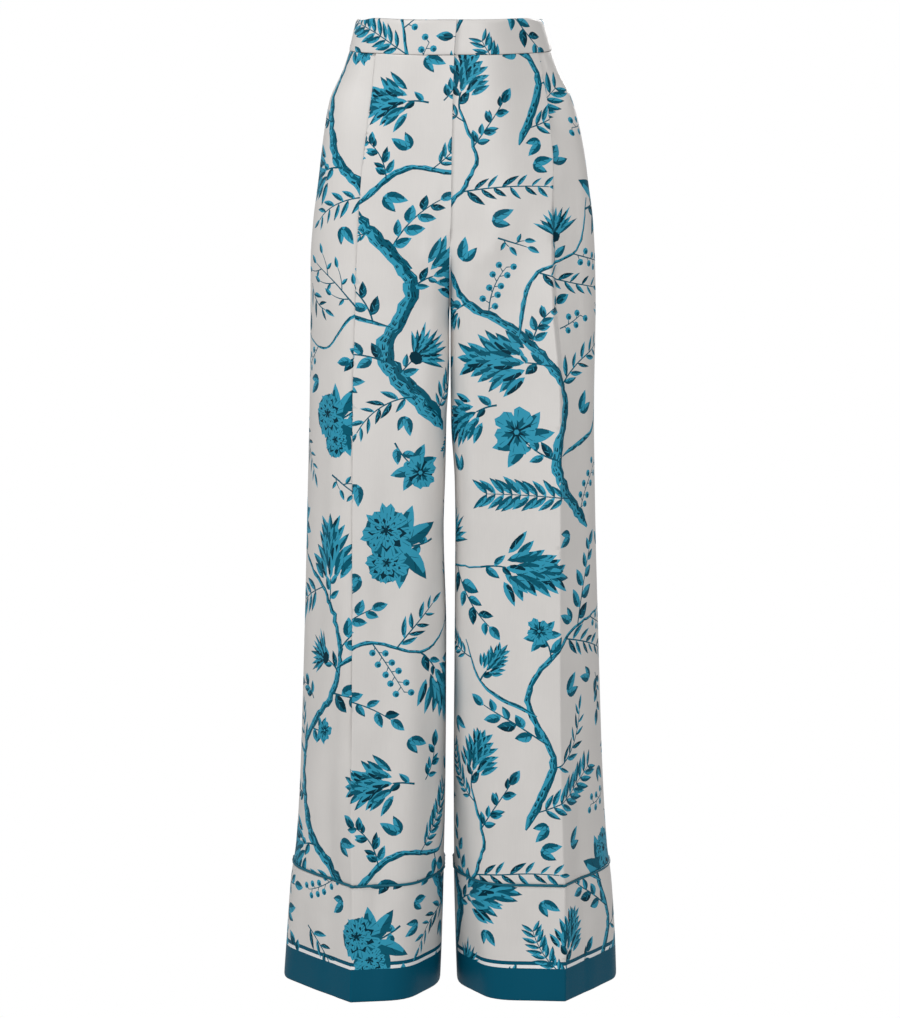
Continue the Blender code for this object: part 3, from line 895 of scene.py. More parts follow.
def beyond(path, length):
    """Place past the end of a path, and the heading there."""
    turn = headings(path)[-1]
    return path[-1] + length * ray(turn), turn


def fern(draw, path, size):
    """Pairs of narrow leaflets along a rib."""
    find, reach = walk(path)
    shapes = rib(path, 1.5, 0.8)
    for k in range(FERN_PAIRS):
        share = 0.14 + 0.84 * k / (FERN_PAIRS - 1)
        base, turn = find(reach * share)
        length = size * 0.3 * (0.6 + 1.5 * share * (1.15 - share)) * draw.uniform(0.9, 1.1)
        for sign in (1, -1):
            shapes += leaf(base, turn + sign * draw.uniform(0.8, 1.05), length, length * 0.3,
                           -0.15 * sign, (DARK, LIGHT) if (k + sign) % 3 else (LIGHT, DARK))
    return shapes


def berries(draw, path, size):
    """Berries on short stalks along a rib."""
    turn = headings(path)
    shapes = rib(path, 1.5, 0.8)
    for i in range(1, len(path)):
        sign = 1 if i % 2 else -1
        heading = turn[i] + sign * draw.uniform(0.8, 1.2)
        tip = path[i] + draw.uniform(6, 10) * ray(heading)
        shapes += [(DARK, stroke(path[i], tip, 1.2)), (LIGHT, disc(tip, 4.0)),
                   (DARK, disc(tip + 1.0, 2.3, 6))]
    return shapes


def flower(draw, path, size):
    """An open flower over its leaves."""
    centre, turn = beyond(path, size * 0.12)
    shapes = []
    for lean in (-2.0, -1.2, 1.2, 2.0):
        shapes += leaf(path[-1], turn + lean, size * 0.4, size * 0.18, 0.1)
    return shapes + blossom(draw, centre, size * 0.29, turn)


def roses(draw, path, size):
    """Two full flowers side by side over their leaves."""
    centre, turn = beyond(path, size * 0.16)
    shapes = []
    for lean in (-2.4, -1.7, -1.0, 1.0, 1.7, 2.4):
        shapes += leaf(path[-1], turn + lean, size * 0.5, size * 0.2, 0.12,
                       (DARK, LIGHT) if abs(lean) > 2 else (LIGHT, DARK))
    side = size * 0.26 * aside(ray(turn))
    shapes += rose(draw, centre - side * 0.85, size * 0.25, turn + 1)
    return shapes + rose(draw, centre + side * 0.6, size * 0.32, turn)


def thistle(draw, path, size):
    """Narrow petals that fan out of a cup, in three rows."""
    heading, length = headings(path)[-1], size * 0.55
    shapes = []
    for row, (reach, spread, count) in enumerate(THISTLE_ROWS):
        for k in range(count):
            lean = spread * (2 * k / (count - 1) - 1)
            petal = length * reach * (1 - 0.16 * abs(lean)) * draw.uniform(0.85, 1.1)
            shapes += leaf(path[-1], heading + lean, petal, length * 0.15, 0.1 * lean,
                           THISTLE_INKS[(k + row) % 3])
    cup = turned(disc((0, 0), length * 0.16) * (1.0, 1.25), heading, path[-1])
    return shapes + [(DEEP, cup)]


def tassel(draw, path, size):
    """Pointed leaves that lie over each other like shingles, from the tip back."""
    heading, length = headings(path)[-1], size * 0.8
    axis = ray(heading)
    side = aside(axis)
    shapes = []
    for row in range(len(TASSEL_ROWS) - 1, -1, -1):
        share = row / (len(TASSEL_ROWS) - 1)
        for k in range(TASSEL_ROWS[row]):
            lean = 2 * k / (TASSEL_ROWS[row] - 1) - 1
            start = (path[-1] + axis * length * 0.6 * share
                     + side * lean * length * 0.19 * (1.1 - share))
            inks = TASSEL_INKS[draw.randrange(4)]
            shapes += leaf(start, heading + lean * draw.uniform(0.5, 0.8) * (1.2 - 0.6 * share),
                           length * draw.uniform(0.34, 0.46), length * 0.13, 0.1 * lean, inks)
    return shapes


def buds(draw, path, size):
    """Buds to both sides of a twig and at its tip."""
    turn = headings(path)
    shapes = []
    for i in range(1, len(path) - 1, 2):
        sign = 1 if i % 4 == 1 else -1
        shapes += bud(path[i], turn[i] - sign * 0.9, 15.0)
    return shapes + bud(path[-1], turn[-1], 20.0)


def forks(draw, path, size):
    """Bare forks with a few small leaves."""
    shapes = rib(path, 2.2, 0.9)
    turn = headings(path)
    for i in range(1, len(path) - 1, 2):
        sign = 1 if i % 4 == 1 else -1
        side = curved(path[i], turn[i] + sign * 0.8, size * 0.28, -0.4 * sign)
        shapes += rib(side, 1.5, 0.8)
        shapes += leaf(side[-1], turn[i] + sign * 0.4, 14.0, 6.0)
        shapes += leaf(side[1], turn[i] + sign * 1.6, 11.0, 5.0, 0.1, (DARK, LIGHT))
    return shapes + leaf(path[-1], turn[-1], 16.0, 6.6)


# Length and bend of each kind's twig, then its leaves (their spacing, length and width, the
# twig's own width and whether its tip has a leaf), then what it bears.
MOTIFS = {
    "leafy": (1.0, 0.9, (11.5, 25, 13.5, 2.0, True), None),
    "willowy": (1.1, 1.2, (8.5, 24, 6.5, 1.8, True), None),
    "ferny": (1.25, 0.8, None, fern),
    "berried": (0.8, 1.0, None, berries),
    "flowering": (0.5, 0.7, (9.0, 22, 11.5, 2.2, False), flower),
    "rosy": (0.4, 0.5, (9.0, 24, 12, 2.6, False), roses),
    "thistly": (0.4, 0.6, (9.0, 22, 9, 2.0, False), thistle),
    "hanging": (0.3, 0.4, (9.0, 20, 10, 2.4, False), tassel),
    "budding": (0.75, 0.9, (10.0, 18, 8.5, 1.7, False), buds),
    "forked": (0.95, 0.6, None, forks),
}
ON_STEMS = ("rosy", "leafy", "hanging", "ferny", "flowering", "leafy", "rosy", "willowy",
            "hanging", "budding", "leafy", "thistly", "forked", "berried")
LARGE = ("rosy", "hanging", "leafy", "flowering", "ferny", "rosy", "willowy", "hanging",
         "budding")
SMALL = ("leafy", "willowy", "ferny", "budding", "forked", "berried")
STEM_SIZES = (84, 104)    # smallest and largest motif on a stem
STEM_TRIES = 12
NEAR_JOINT = 16           # within this of the joint a motif may lie on its stem
GOOD_FIT = 0.03           # share of taken cells at which no more kinds are tried
FIT = 0.1                 # share up to which the best try is kept
SMALLER = 0.05            # how much smaller each next try is
FILLING = (               # size, tries and kinds, where there is room left
    (96, 500, LARGE), (78, 800, LARGE), (60, 1000, SMALL), (44, 1000, SMALL),
    (28, 1100, ("loose",)),
)


def motif(draw, kind, at, heading, size):
    """A motif of a kind, or a few fallen leaves."""
    if kind == "loose":
        return [*leaf(at, heading, size * 0.95, size * 0.44, 0.2),
                *leaf(at, heading + 1.1, size * 0.75, size * 0.36, -0.2, (DARK, LIGHT))]
    length, bend, leaves, bears = MOTIFS[kind]
    path = curved(at, heading, size * length, draw.uniform(-bend, bend))
    shapes = spray(draw, path, *leaves) if leaves else []
    return shapes + (bears(draw, path, size) if bears else [])


class Field:
    """Which cells of the repeat hold a motif."""

    def __init__(self):
        self.size = (round(TILE[0] / CELL), round(TILE[1] / CELL))
        self.used = np.zeros(self.size, bool)

    def cells(self, shapes):
        """Column and row of each cell that shapes lie on."""
        spots = []
        for _, outline in shapes:
            middle = outline.mean(axis=0)
            spots += [outline, (outline + middle) / 2, middle[None]]
        cells = np.unique((np.vstack(spots) // CELL).astype(int), axis=0)
        return cells[:, 0], cells[:, 1]

    def taken(self, at):
        """Whether the cell at a place is taken."""
        x, y = (at // CELL).astype(int)
        return self.used[x % self.size[0], y % self.size[1]]

    def crowding(self, shapes, at, spare):
        """Share of a motif's cells that are taken, away from where it joins."""
        x, y = self.cells(shapes)
        away = np.hypot((x + 0.5) * CELL - at[0], (y + 0.5) * CELL - at[1]) > spare
        if not away.any():
            return 0.0
        return self.used[x[away] % self.size[0], y[away] % self.size[1]].mean()

    def mark(self, shapes):
        """Takes a motif's cells and their neighbours."""
        x, y = self.cells(shapes)
        for dx, dy in ((0, 0), (-1, 0), (1, 0), (0, -1), (0, 1)):
            self.used[(x + dx) % self.size[0], (y + dy) % self.size[1]] = True


def bark(draw, path, widths):
    """A woody stem with a shaded side and strokes of bark."""
    shapes = [(LIGHT, ribbon(path, widths))]
    across = beside(headings(path))
    ragged = np.array([draw.uniform(0.3, 0.6) for _ in path])
    shade = path + across * (widths * (0.5 - ragged / 2))[:, None]
    shapes.append((DARK, ribbon(shade, widths * ragged)))
    for i in range(1, len(path) - 2):
        for _ in range(int(widths[i] / 2.6)):
            off = draw.uniform(-0.4, 0.4) * widths[i]
            start = path[i] + across[i] * off
            stop = path[i + 1] + across[i + 1] * (off + draw.uniform(-0.12, 0.12) * widths[i])
            ink = LIGHT if off > 0.12 * widths[i] and draw.random() < 0.4 else DEEP
            shapes.append((ink, stroke(start, start * 0.3 + stop * 0.7, draw.uniform(0.8, 1.5))))
    return shapes


def vine(draw, thick, tip, route):
    """Path and widths of one stem."""
    path = smooth_path(route)
    jitter = np.array([(draw.uniform(-1, 1), draw.uniform(-1, 1)) for _ in path])
    path = path + jitter * thick * 0.09
    rough = np.array([draw.uniform(0.82, 1.16) for _ in path])
    widths = np.linspace(thick, tip, len(path)) * rough
    widths[:4] *= (0.2, 0.5, 0.75, 0.92)
    return path, widths


def grown(draw, field):
    """Shapes of all the stems, and the places and headings where motifs join them."""
    stems, joints = [], []
    for row in VINES["rows"]:
        path, widths = vine(draw, *row)
        stems += bark(draw, path, widths)
        field.mark([(DARK, ribbon(path, widths))])
        turn = headings(path)
        sign = 1
        for i in range(3, len(path) - 2, 4):
            joints.append((path[i], turn[i] + sign * draw.uniform(0.7, 1.15)))
            sign = -sign
        joints.append((path[-1], turn[-1]))
    return stems, joints


def on_stems(draw, field, joints):
    """Motifs on the stems: of each joint's tries the one with most room, if that is enough."""
    motifs, order = [], 0
    for at, heading in joints:
        best = None
        for attempt in range(STEM_TRIES):
            kind = ON_STEMS[(order + attempt) % len(ON_STEMS)]
            size = draw.uniform(*STEM_SIZES) * (1 - SMALLER * attempt)
            shapes = motif(draw, kind, at, heading + draw.uniform(-0.35, 0.35), size)
            crowd = field.crowding(shapes, at, NEAR_JOINT)
            if best is None or crowd < best[0]:
                best = (crowd, shapes, attempt)
            if crowd < GOOD_FIT:
                break
        if best[0] < FIT:
            motifs += best[1]
            field.mark(best[1])
            order += best[2] + 1
    return motifs


def filling(draw, field):
    """Motifs in the room that is left, from large to small."""
    motifs = []
    for size, tries, kinds in FILLING:
        for _ in range(tries):
            at = np.array((draw.uniform(0, TILE[0]), draw.uniform(0, TILE[1])))
            if field.taken(at):
                continue
            kind = kinds[draw.randrange(len(kinds))]
            shapes = motif(draw, kind, at, draw.uniform(0, 2 * pi), size * draw.uniform(0.85, 1.1))
            if field.crowding(shapes, at, 0) == 0:
                motifs += shapes
                field.mark(shapes)
    return motifs


def botanical(seed):
    """Shapes of one repeat of the print, each an ink and an outline, back to front."""
    draw = random.Random(seed)
    field = Field()
    stems, joints = grown(draw, field)
    return stems + on_stems(draw, field, joints) + filling(draw, field)


# ------------------------------------------------------------------ soft folds

FOLDS = {                 # long soft folds: where each lies on its piece, and its size
    "columns": ("across", "drop", "reach", "lean", "half", "height"),
    "front_right": (
        (-66, 900, 330, 0.02, 17, 1.9), (-112, 780, 300, -0.03, 15, 1.3),
        (-40, 640, 260, 0.03, 14, -0.9), (44, 930, 260, 0.0, 15, -1.2),
        (62, 640, 300, 0.02, 16, 1.1), (-78, 250, 120, 0.1, 12, 1.0),
        (-48, 330, 190, -0.05, 15, -0.8), (-96, 520, 210, 0.05, 13, 1.1),
        (50, 300, 210, -0.04, 16, 0.8), (-28, 1010, 130, 0.02, 9, -0.8),
    ),
    "front_left": (
        (-70, 920, 300, -0.03, 19, 1.9), (-120, 760, 320, 0.02, 15, 1.2),
        (-46, 700, 260, -0.03, 15, -0.9), (40, 960, 240, 0.02, 14, -1.1),
        (56, 620, 320, -0.02, 17, 1.0), (-70, 270, 130, -0.08, 13, 0.9),
        (-100, 500, 230, -0.04, 14, 1.1), (52, 330, 230, 0.03, 16, 0.9),
        (-94, 1040, 120, 0.04, 10, 0.9), (-24, 860, 210, 0.03, 11, 0.7),
    ),
    "back_right": (
        (-52, 900, 330, 0.02, 18, 1.6), (48, 880, 320, -0.02, 18, 1.8),
        (98, 700, 300, 0.03, 15, 1.2), (-40, 600, 260, -0.03, 15, 1.0),
        (60, 480, 180, 0.12, 14, 1.6), (84, 410, 150, 0.25, 11, 1.3),
        (36, 250, 170, -0.05, 20, 0.8), (-60, 320, 200, 0.04, 18, 0.8),
        (80, 1040, 120, -0.04, 11, 0.9),
    ),
    "back_left": (
        (-50, 940, 300, -0.02, 18, 1.7), (52, 860, 340, 0.02, 17, 1.7),
        (104, 740, 280, -0.03, 15, 1.1), (-42, 640, 260, 0.03, 15, 1.0),
        (56, 500, 190, 0.1, 14, 1.5), (88, 420, 150, 0.22, 11, 1.4),
        (30, 260, 170, 0.04, 20, 0.8), (-58, 360, 200, -0.04, 18, 0.8),
        (70, 1030, 130, 0.05, 11, 0.9),
    ),
}

FOLD_GAIN = 2.2           # on the heights of the long folds
WANDER = (3.0, 61.0)      # how far they wander sideways, and how slowly
RIPPLE = 0.3              # height of the faint ripples all over
PUCKER = 0.55             # height of the puckers at the piping
PUCKER_REACH = (6.0, 20.0)  # how far they run above and below it
PUCKER_WIDTH = 13.0
CALM = 9.0                # how far from a side edge the folds fade out
PLEAT_CALM = (9.0, 10.0)  # how far before and past a shut pleat they are flat too
CALM_EDGE = 2.5           # and how soon
CALM_GAIN = 4.0           # and from how small a fold on


def relief(name, cut):
    """Height of the soft folds over a piece."""
    across, drops = cut.across, cut.drops[:, None]
    height = np.zeros_like(across)
    for middle, drop, reach, lean, half, rise in FOLDS[name]:
        share = np.clip(np.abs(drops - drop) / reach, 0, 1)
        wander = WANDER[0] * np.sin(drops / WANDER[1] + middle)
        off = across - middle - lean * (drops - drop) - wander
        height += FOLD_GAIN * rise * (1 - share * share) ** 2 * np.exp(-(off / half) ** 2)
    phase = FOLDS[name][0][0]
    height += RIPPLE * np.sin(across / 9.0 + 1.4 * np.sin(drops / 130.0 + phase)) * (
        0.5 + 0.5 * np.sin(drops / 97.0 + across / 41.0 + phase))
    return height


def seam_calm(cut):
    """Nought at a piece's side edges, where it meets the next piece, and one away from them."""
    start = (cut.across - cut.across[:, :1]) / CALM
    end = (cut.across[:, -1:] - cut.across) / CALM
    return (1 - np.exp(-start * start)) * (1 - np.exp(-end * end))


def puckers(cut):
    """Height of the small puckers that the piping's seam draws up."""
    away = cut.drops[:, None] - CUFF_SEAM
    fade = np.where(away < 0, np.exp(away / PUCKER_REACH[0]), np.exp(-away / PUCKER_REACH[1]))
    across = cut.across
    wave = np.sin(2 * pi * (across + 4 * np.sin(across / 17.0)) / PUCKER_WIDTH)
    return PUCKER * fade * wave * (0.55 + 0.45 * np.sin(across / 23.0 + 1.0))


# --------------------------------------------------------------------- pieces

FRONT_FACES = {
    "spans": (4, 2, 10, 0, 4, 0, 3, 6, 5),
    "corners": (5, 6, 6, 5, 5, 5, 6, 8),
}
BACK_FACES = {
    "spans": (6, 8, 8, 3, 6),
    "corners": (8, 7, 7, 5),
}
BAND_FACES = {
    "spans": (3, 4, 6, 4),
    "corners": (4, 8, 8),
}
CREST_CORNER = 3
CREASE_CORNER = 2
PANELS = {                # corners, faces, corner of the crease, and edge at the centre seam
    "front": (front_corners, FRONT_FACES, CREST_CORNER, "start"),
    "back": (back_corners, BACK_FACES, CREASE_CORNER, "end"),
}


def section_cut(side, drops, corners, faces, middle):
    """A piece cut along level sections, its across counted from one of its points."""
    return Cut(side, place(side, rounded(corners(side, drops), faces), drops), drops, middle)


def meet_band(side, cut):
    """Draws the top of a front in, so that it meets the waistband beside its pleat."""
    seam = np.array((WAIST_SEAM, WAIST_SEAM + 1.0))
    band = section_cut(side, seam, band_corners, BAND_FACES, len(EDGE))
    a, b = band.places[0, :-1, :2], band.places[0, 1:, :2]
    top = cut.places[0, :, :2]
    along = ((top[:, None] - a) * (b - a)).sum(axis=2) / ((b - a) ** 2).sum(axis=1)
    away = top[:, None] - a - (b - a) * np.clip(along, 0, 1)[..., None]
    closest = np.argmin((away ** 2).sum(axis=2), axis=1)
    shift = away[np.arange(len(top)), closest]
    stands_out = (shift * band.normals[0, closest, :2]).sum(axis=1) > 0
    shift[~stands_out | (cut.across[0] < PLEAT_SIDE)] = 0
    share = np.clip((cut.drops - cut.drops[0]) / MEET_REACH, 0, 1)
    cut.places[..., :2] -= shift * ((1 - share) ** 2 * (1 + 2 * share))[:, None, None]
    cut.find_normals()


def pleat_calm(side, cut):
    """Nought over the layers of a shut pleat, and one away from it."""
    fold = side_of(PLEAT, "fold", side, cut.drops)[:, None]
    depth = side_of(PLEAT, "depth", side, cut.drops)[:, None]
    inside = 1 / (1 + np.exp(-(cut.across + depth + PLEAT_CALM[0]) / CALM_EDGE))
    inside /= 1 + np.exp((cut.across - 3 * depth - PLEAT_CALM[1]) / CALM_EDGE)
    return 1 - inside * np.clip(fold * CALM_GAIN, 0, 1)


def panel_cut(face, side, drops):
    """Front or back of a leg or cuff, with its soft folds."""
    corners, faces, crease, centre_edge = PANELS[face]
    cut = section_cut(side, drops, corners, faces, mid_point(faces, crease))
    front = face == "front"
    if front and drops[0] < CROTCH:
        meet_band(side, cut)
    cut.centre_edge = centre_edge
    cut.lapped = front and side == RIGHT
    height = (relief(f"{face}_{LABEL[side]}", cut) + puckers(cut)) * seam_calm(cut)
    cut.push(height * pleat_calm(side, cut) if front else height)
    return cut


def band_front_cut(side, drops):
    """Front of the waistband on one side."""
    cut = section_cut(side, drops, band_corners, BAND_FACES, len(EDGE))
    cut.lapped = side == RIGHT
    return cut


def band_back_cut(drops):
    """Back of the waistband, across the centre."""
    right, left = (place(side, rounded(back_corners(side, drops), BACK_FACES), drops)
                   for side in (RIGHT, LEFT))
    centre = (right[:, -1:] + left[:, -1:]) / 2
    places = np.concatenate((right[:, :-1], centre, left[:, -2::-1]), axis=1)
    return Cut(RIGHT, places, drops, places.shape[1] // 2)


# ------------------------------------------------------- meshes that hold the print

BORDER, WHITE = 4, 5      # inks of the hem band and of the line above it
INKS = 6
ALL_ROUND, INSIDE = 0, 1  # which triangles to keep: all, or those inside the links
EPSILON = 1e-5
CORD_SIDES = 10           # faces round the piping
HEM_BAND = 1083.0         # drop where the solid hem band starts
HEM_LINE = (1074.5, 1079.0)  # drops of the thin line above it


def wound(outline, spots):
    """Whether each spot lies inside an outline."""
    x, y = outline.T
    next_x, next_y = np.roll(x, -1), np.roll(y, -1)
    at_x, at_y = spots[:, 0:1], spots[:, 1:2]
    side = (next_x - x) * (at_y - y) - (at_x - x) * (next_y - y)
    upward = (y <= at_y) & (next_y > at_y) & (side > 0)
    downward = (y > at_y) & (next_y <= at_y) & (side < 0)
    return upward.sum(axis=1) != downward.sum(axis=1)


def printed(cut, shapes, shift):
    """Shapes of the print that reach a piece, laid flat on it at a shift."""
    low = np.array((cut.across.min(), cut.drops[0]))
    high = np.array((cut.across.max(), cut.drops[-1]))
    flip = np.array((cut.side, 1.0))
    size = np.array(TILE)
    found = []
    for ink, outline in shapes:
        outline = (outline - shift) * flip
        first = np.ceil((low - outline.max(axis=0)) / size).astype(int)
        last = np.floor((high - outline.min(axis=0)) / size).astype(int)
        for i in range(first[0], last[0] + 1):
            for j in range(first[1], last[1] + 1):
                found.append((ink, outline + size * (i, j)))
    return found


def stripe(cut, top, bottom):
    """Level stripe across a piece."""
    low, high = cut.across.min() - 1, cut.across.max() + 1
    return np.array(((low, top), (high, top), (high, bottom), (low, bottom)))


def joined(spots, links, kind):
    """Triangles over flat spots that follow the links, and each spot's sources."""
    found = delaunay_2d_cdt([Vector(s) for s in spots], links, [], kind, EPSILON)
    return np.array([tuple(v) for v in found[0]]), np.array(found[2]), found[3]


def triangulated(cut, shapes, steps):
    """Flat triangles of a piece that follow every edge of its shapes, with their inks."""
    spots, links = [], []
    for outline in [cut.border()] + cut.divided([outline for _, outline in shapes]):
        first, count = len(spots), len(outline)
        links += [(first + i, first + (i + 1) % count) for i in range(count)]
        spots += outline.tolist()
    for line in cut.edge_lines():
        links += [(len(spots) + i, len(spots) + i + 1) for i in range(len(line) - 1)]
        spots += line.tolist()
    spots += cut.inside(*steps).tolist()
    flat, triangles, _ = joined(spots, links, ALL_ROUND)
    triangles = triangles[cut.holds(flat[triangles].mean(axis=1))]
    centres = flat[triangles].mean(axis=1)
    order = np.argsort(centres[:, 1])
    triangles, centres = triangles[order], centres[order]
    inks = np.full(len(triangles), GROUND)
    for ink, outline in shapes:
        low, high = outline.min(axis=0), outline.max(axis=0)
        first, last = np.searchsorted(centres[:, 1], (low[1], high[1]))
        span = centres[first:last]
        near = np.nonzero((span[:, 0] > low[0]) & (span[:, 0] < high[0]))[0]
        inks[first + near[wound(outline, span[near])]] = ink
    used, index = np.unique(triangles, return_inverse=True)
    return flat[used], index.reshape(triangles.shape), inks


def open_edges(triangles):
    """Directed edges that only one triangle uses, and that triangle."""
    pairs = np.vstack((triangles[:, (0, 1)], triangles[:, (1, 2)], triangles[:, (2, 0)]))
    owner = np.tile(np.arange(len(triangles)), 3)
    top = int(pairs.max()) + 1
    forward = pairs[:, 0] * top + pairs[:, 1]
    lone = ~np.isin(forward, pairs[:, 1] * top + pairs[:, 0])
    return pairs[lone], owner[lone]


def lined(cut, flat, edges, steps):
    """Plain flat triangles inside the given edges, for the reverse of the cloth."""
    rim = np.unique(edges)
    place_of = {v: i for i, v in enumerate(rim)}
    links = [(place_of[a], place_of[b]) for a, b in edges]
    spots = flat[rim].tolist() + cut.inside(*steps).tolist()
    flat_in, triangles, origins = joined(spots, links, INSIDE)
    index = {source: i for i, sources in enumerate(origins) for source in sources}
    partner = {v: index[place_of[v]] for v in rim}
    return flat_in, triangles, partner


def facing(triangles, places, normals):
    """The triangles, all turned over if most of them face away from their normals."""
    a, b, c = (places[triangles[:, i]] for i in range(3))
    agreement = (np.cross(b - a, c - a) * normals[triangles[:, 0]]).sum()
    return triangles if agreement > 0 else triangles[:, ::-1]


def linked(made):
    """The object, now part of the scene."""
    bpy.context.scene.collection.objects.link(made)
    return made


def solid(name, spots, faces, finishes):
    """A smooth object from its places in metres."""
    mesh = bpy.data.meshes.new(name)
    mesh.from_pydata(spots, [], faces)
    for finish in finishes:
        mesh.materials.append(finish)
    mesh.shade_smooth()
    return linked(bpy.data.objects.new(name, mesh))


def shell(name, cut, shapes, thickness, finishes, steps):
    """A piece of cloth with the shapes of its print, on its place on the leg."""
    flat, triangles, inks = triangulated(cut, shapes, steps)
    places, normals = cut.fitted(flat)
    triangles = facing(triangles, places, normals)
    edges, owners = open_edges(triangles)
    flat_in, lining, partner = lined(cut, flat, edges, (steps[0] * 2, steps[1]))
    places_in, normals_in = cut.fitted(flat_in)
    lining = facing(lining, places_in, -normals_in) + len(flat)
    rim = []
    for a, b in edges:
        inner = sorted({partner[a], partner[b]}, key=(partner[a], partner[b]).index)
        rim.append((b, a, *[v + len(flat) for v in inner]))
    spots = np.vstack((places + normals * thickness / 2, places_in - normals_in * thickness / 2))
    made = solid(name, (spots * MM).tolist(), triangles.tolist() + lining.tolist() + rim, finishes)
    mesh = made.data
    slots = np.concatenate((inks, np.full(len(lining), INKS), inks[owners]))
    mesh.polygons.foreach_set("material_index", slots.astype(np.int32))
    ends = np.empty(len(mesh.loops), np.int32)
    mesh.loops.foreach_get("vertex_index", ends)
    chart = mesh.uv_layers.new(name="cloth")
    chart.uv.foreach_set("vector", (np.vstack((flat, flat_in)) * MM)[ends].ravel())
    shown = np.vstack((normals, -normals_in))[ends]
    start = 3 * (len(triangles) + len(lining))
    for wall in rim:
        ring = spots[list(wall)]
        turn = np.cross(ring[1] - ring[0], ring[-1] - ring[0])
        shown[start:start + len(wall)] = turn / max(np.linalg.norm(turn), 1e-9)
        start += len(wall)
    mesh.attributes.new("custom_normal", "FLOAT_VECTOR", "CORNER").data.foreach_set(
        "vector", shown.astype(np.float32).ravel())
    return made


def flat_size(cut):
    """Width, length and area in metres of a flat piece."""
    border = cut.border() * MM
    width, length = np.ptp(border, axis=0)
    x, y = border[:, 0], border[:, 1]
    area = abs((x * np.roll(y, -1) - y * np.roll(x, -1)).sum()) / 2
    return (float(width), float(length)), float(area)


def tube(name, ring, radius, finish):
    """Closed round cord along a ring of places."""
    turn = 2 * pi * np.arange(CORD_SIDES) / CORD_SIDES
    ahead = np.roll(ring, -1, axis=0) - np.roll(ring, 1, axis=0)
    ahead /= np.linalg.norm(ahead, axis=1, keepdims=True)
    across = np.cross(ahead, (0.0, 0.0, 1.0))
    across /= np.linalg.norm(across, axis=1, keepdims=True)
    up = np.cross(across, ahead)
    spots = ring[:, None] + radius * (
        across[:, None] * np.cos(turn)[:, None] + up[:, None] * np.sin(turn)[:, None])
    faces = []
    for i in range(len(ring)):
        first, second = i * CORD_SIDES, (i + 1) % len(ring) * CORD_SIDES
        for k in range(CORD_SIDES):
            m = (k + 1) % CORD_SIDES
            faces.append((first + k, second + k, second + m, first + m))
    return solid(name, (spots.reshape(-1, 3) * MM).tolist(), faces, [finish])


# ------------------------------------------------------------------ materials

SATINS = {                # linear colour, roughness, sheen and gloss of each, inks first
    "ground": ((0.73, 0.705, 0.68), 0.38, 0.08, 0.4),
    "light_teal": ((0.036, 0.33, 0.485), 0.42, 0.0, 0.08),
    "dark_teal": ((0.003, 0.105, 0.165), 0.42, 0.0, 0.06),
    "deep_teal": ((0.001, 0.033, 0.055), 0.45, 0.0, 0.05),
    "border_teal": ((0.001, 0.088, 0.15), 0.38, 0.0, 0.08),
    "white": ((0.88, 0.88, 0.88), 0.4, 0.05, 0.3),
    "reverse": ((0.62, 0.63, 0.62), 0.5, 0.08, 0.3),
    "cord": ((0.002, 0.12, 0.18), 0.4, 0.0, 0.25),
}
TONES = (0.95, 1.05)      # how far the colour varies
ROUGH_SPAN = 0.12         # and the roughness
WEAVE_BUMP = 0.0002       # height of the weave in metres


def satin(name, colour, roughness, sheen, gloss):
    """Satin: fine weave along the warp, soft slubs, and a colour that varies a little."""
    made = bpy.data.materials.new(name)
    made.use_nodes = True
    tree = made.node_tree
    shader = tree.nodes["Principled BSDF"]

    def node(kind, sources=(), values=(), **settings):
        """A node with its settings, its inputs' sources and its inputs' values."""
        new = tree.nodes.new("ShaderNode" + kind)
        for key, value in settings.items():
            setattr(new, key, value)
        for key, (source, output) in dict(sources).items():
            tree.links.new(source.outputs[output], new.inputs[key])
        for key, value in dict(values).items():
            new.inputs[key].default_value = value
        return new

    chart = (node("UVMap", uv_map="cloth"), "UV")
    warp = node("Mapping", {"Vector": chart}, {"Scale": (700.0, 45.0, 1.0)})
    slubs = (node("TexNoise", {"Vector": (warp, "Vector")}, {"Scale": 1.0, "Detail": 2.0},
                  noise_dimensions="2D"), "Fac")
    weave = (node("TexWave", {"Vector": chart}, {"Scale": 900.0, "Distortion": 1.5, "Detail": 1.0},
                  wave_type="BANDS", bands_direction="DIAGONAL"), "Fac")
    drift = (node("TexNoise", {"Vector": chart}, {"Scale": 18.0}, noise_dimensions="2D"), "Fac")
    grade = node("Math", {0: slubs, 2: drift}, {1: 0.45}, operation="MULTIPLY_ADD")
    dark, pale = ((*[min(1.0, c * tone) for c in colour], 1.0) for tone in TONES)
    tint = node("Mix", {"Factor": (grade, "Value")}, {"A": dark, "B": pale}, data_type="RGBA")
    spread = node("Math", {0: slubs}, {1: ROUGH_SPAN, 2: roughness - ROUGH_SPAN / 2},
                  operation="MULTIPLY_ADD")
    height = node("Math", {0: slubs, 1: weave}, operation="ADD")
    bump = node("Bump", {"Height": (height, "Value")}, {"Strength": 0.12, "Distance": WEAVE_BUMP})
    tree.links.new(tint.outputs["Result"], shader.inputs["Base Color"])
    tree.links.new(spread.outputs["Value"], shader.inputs["Roughness"])
    tree.links.new(bump.outputs["Normal"], shader.inputs["Normal"])
    shader.inputs["Sheen Weight"].default_value = sheen
    shader.inputs["Sheen Roughness"].default_value = 0.35
    shader.inputs["Specular IOR Level"].default_value = gloss
    return made


# ------------------------------------------------------------- stage and camera

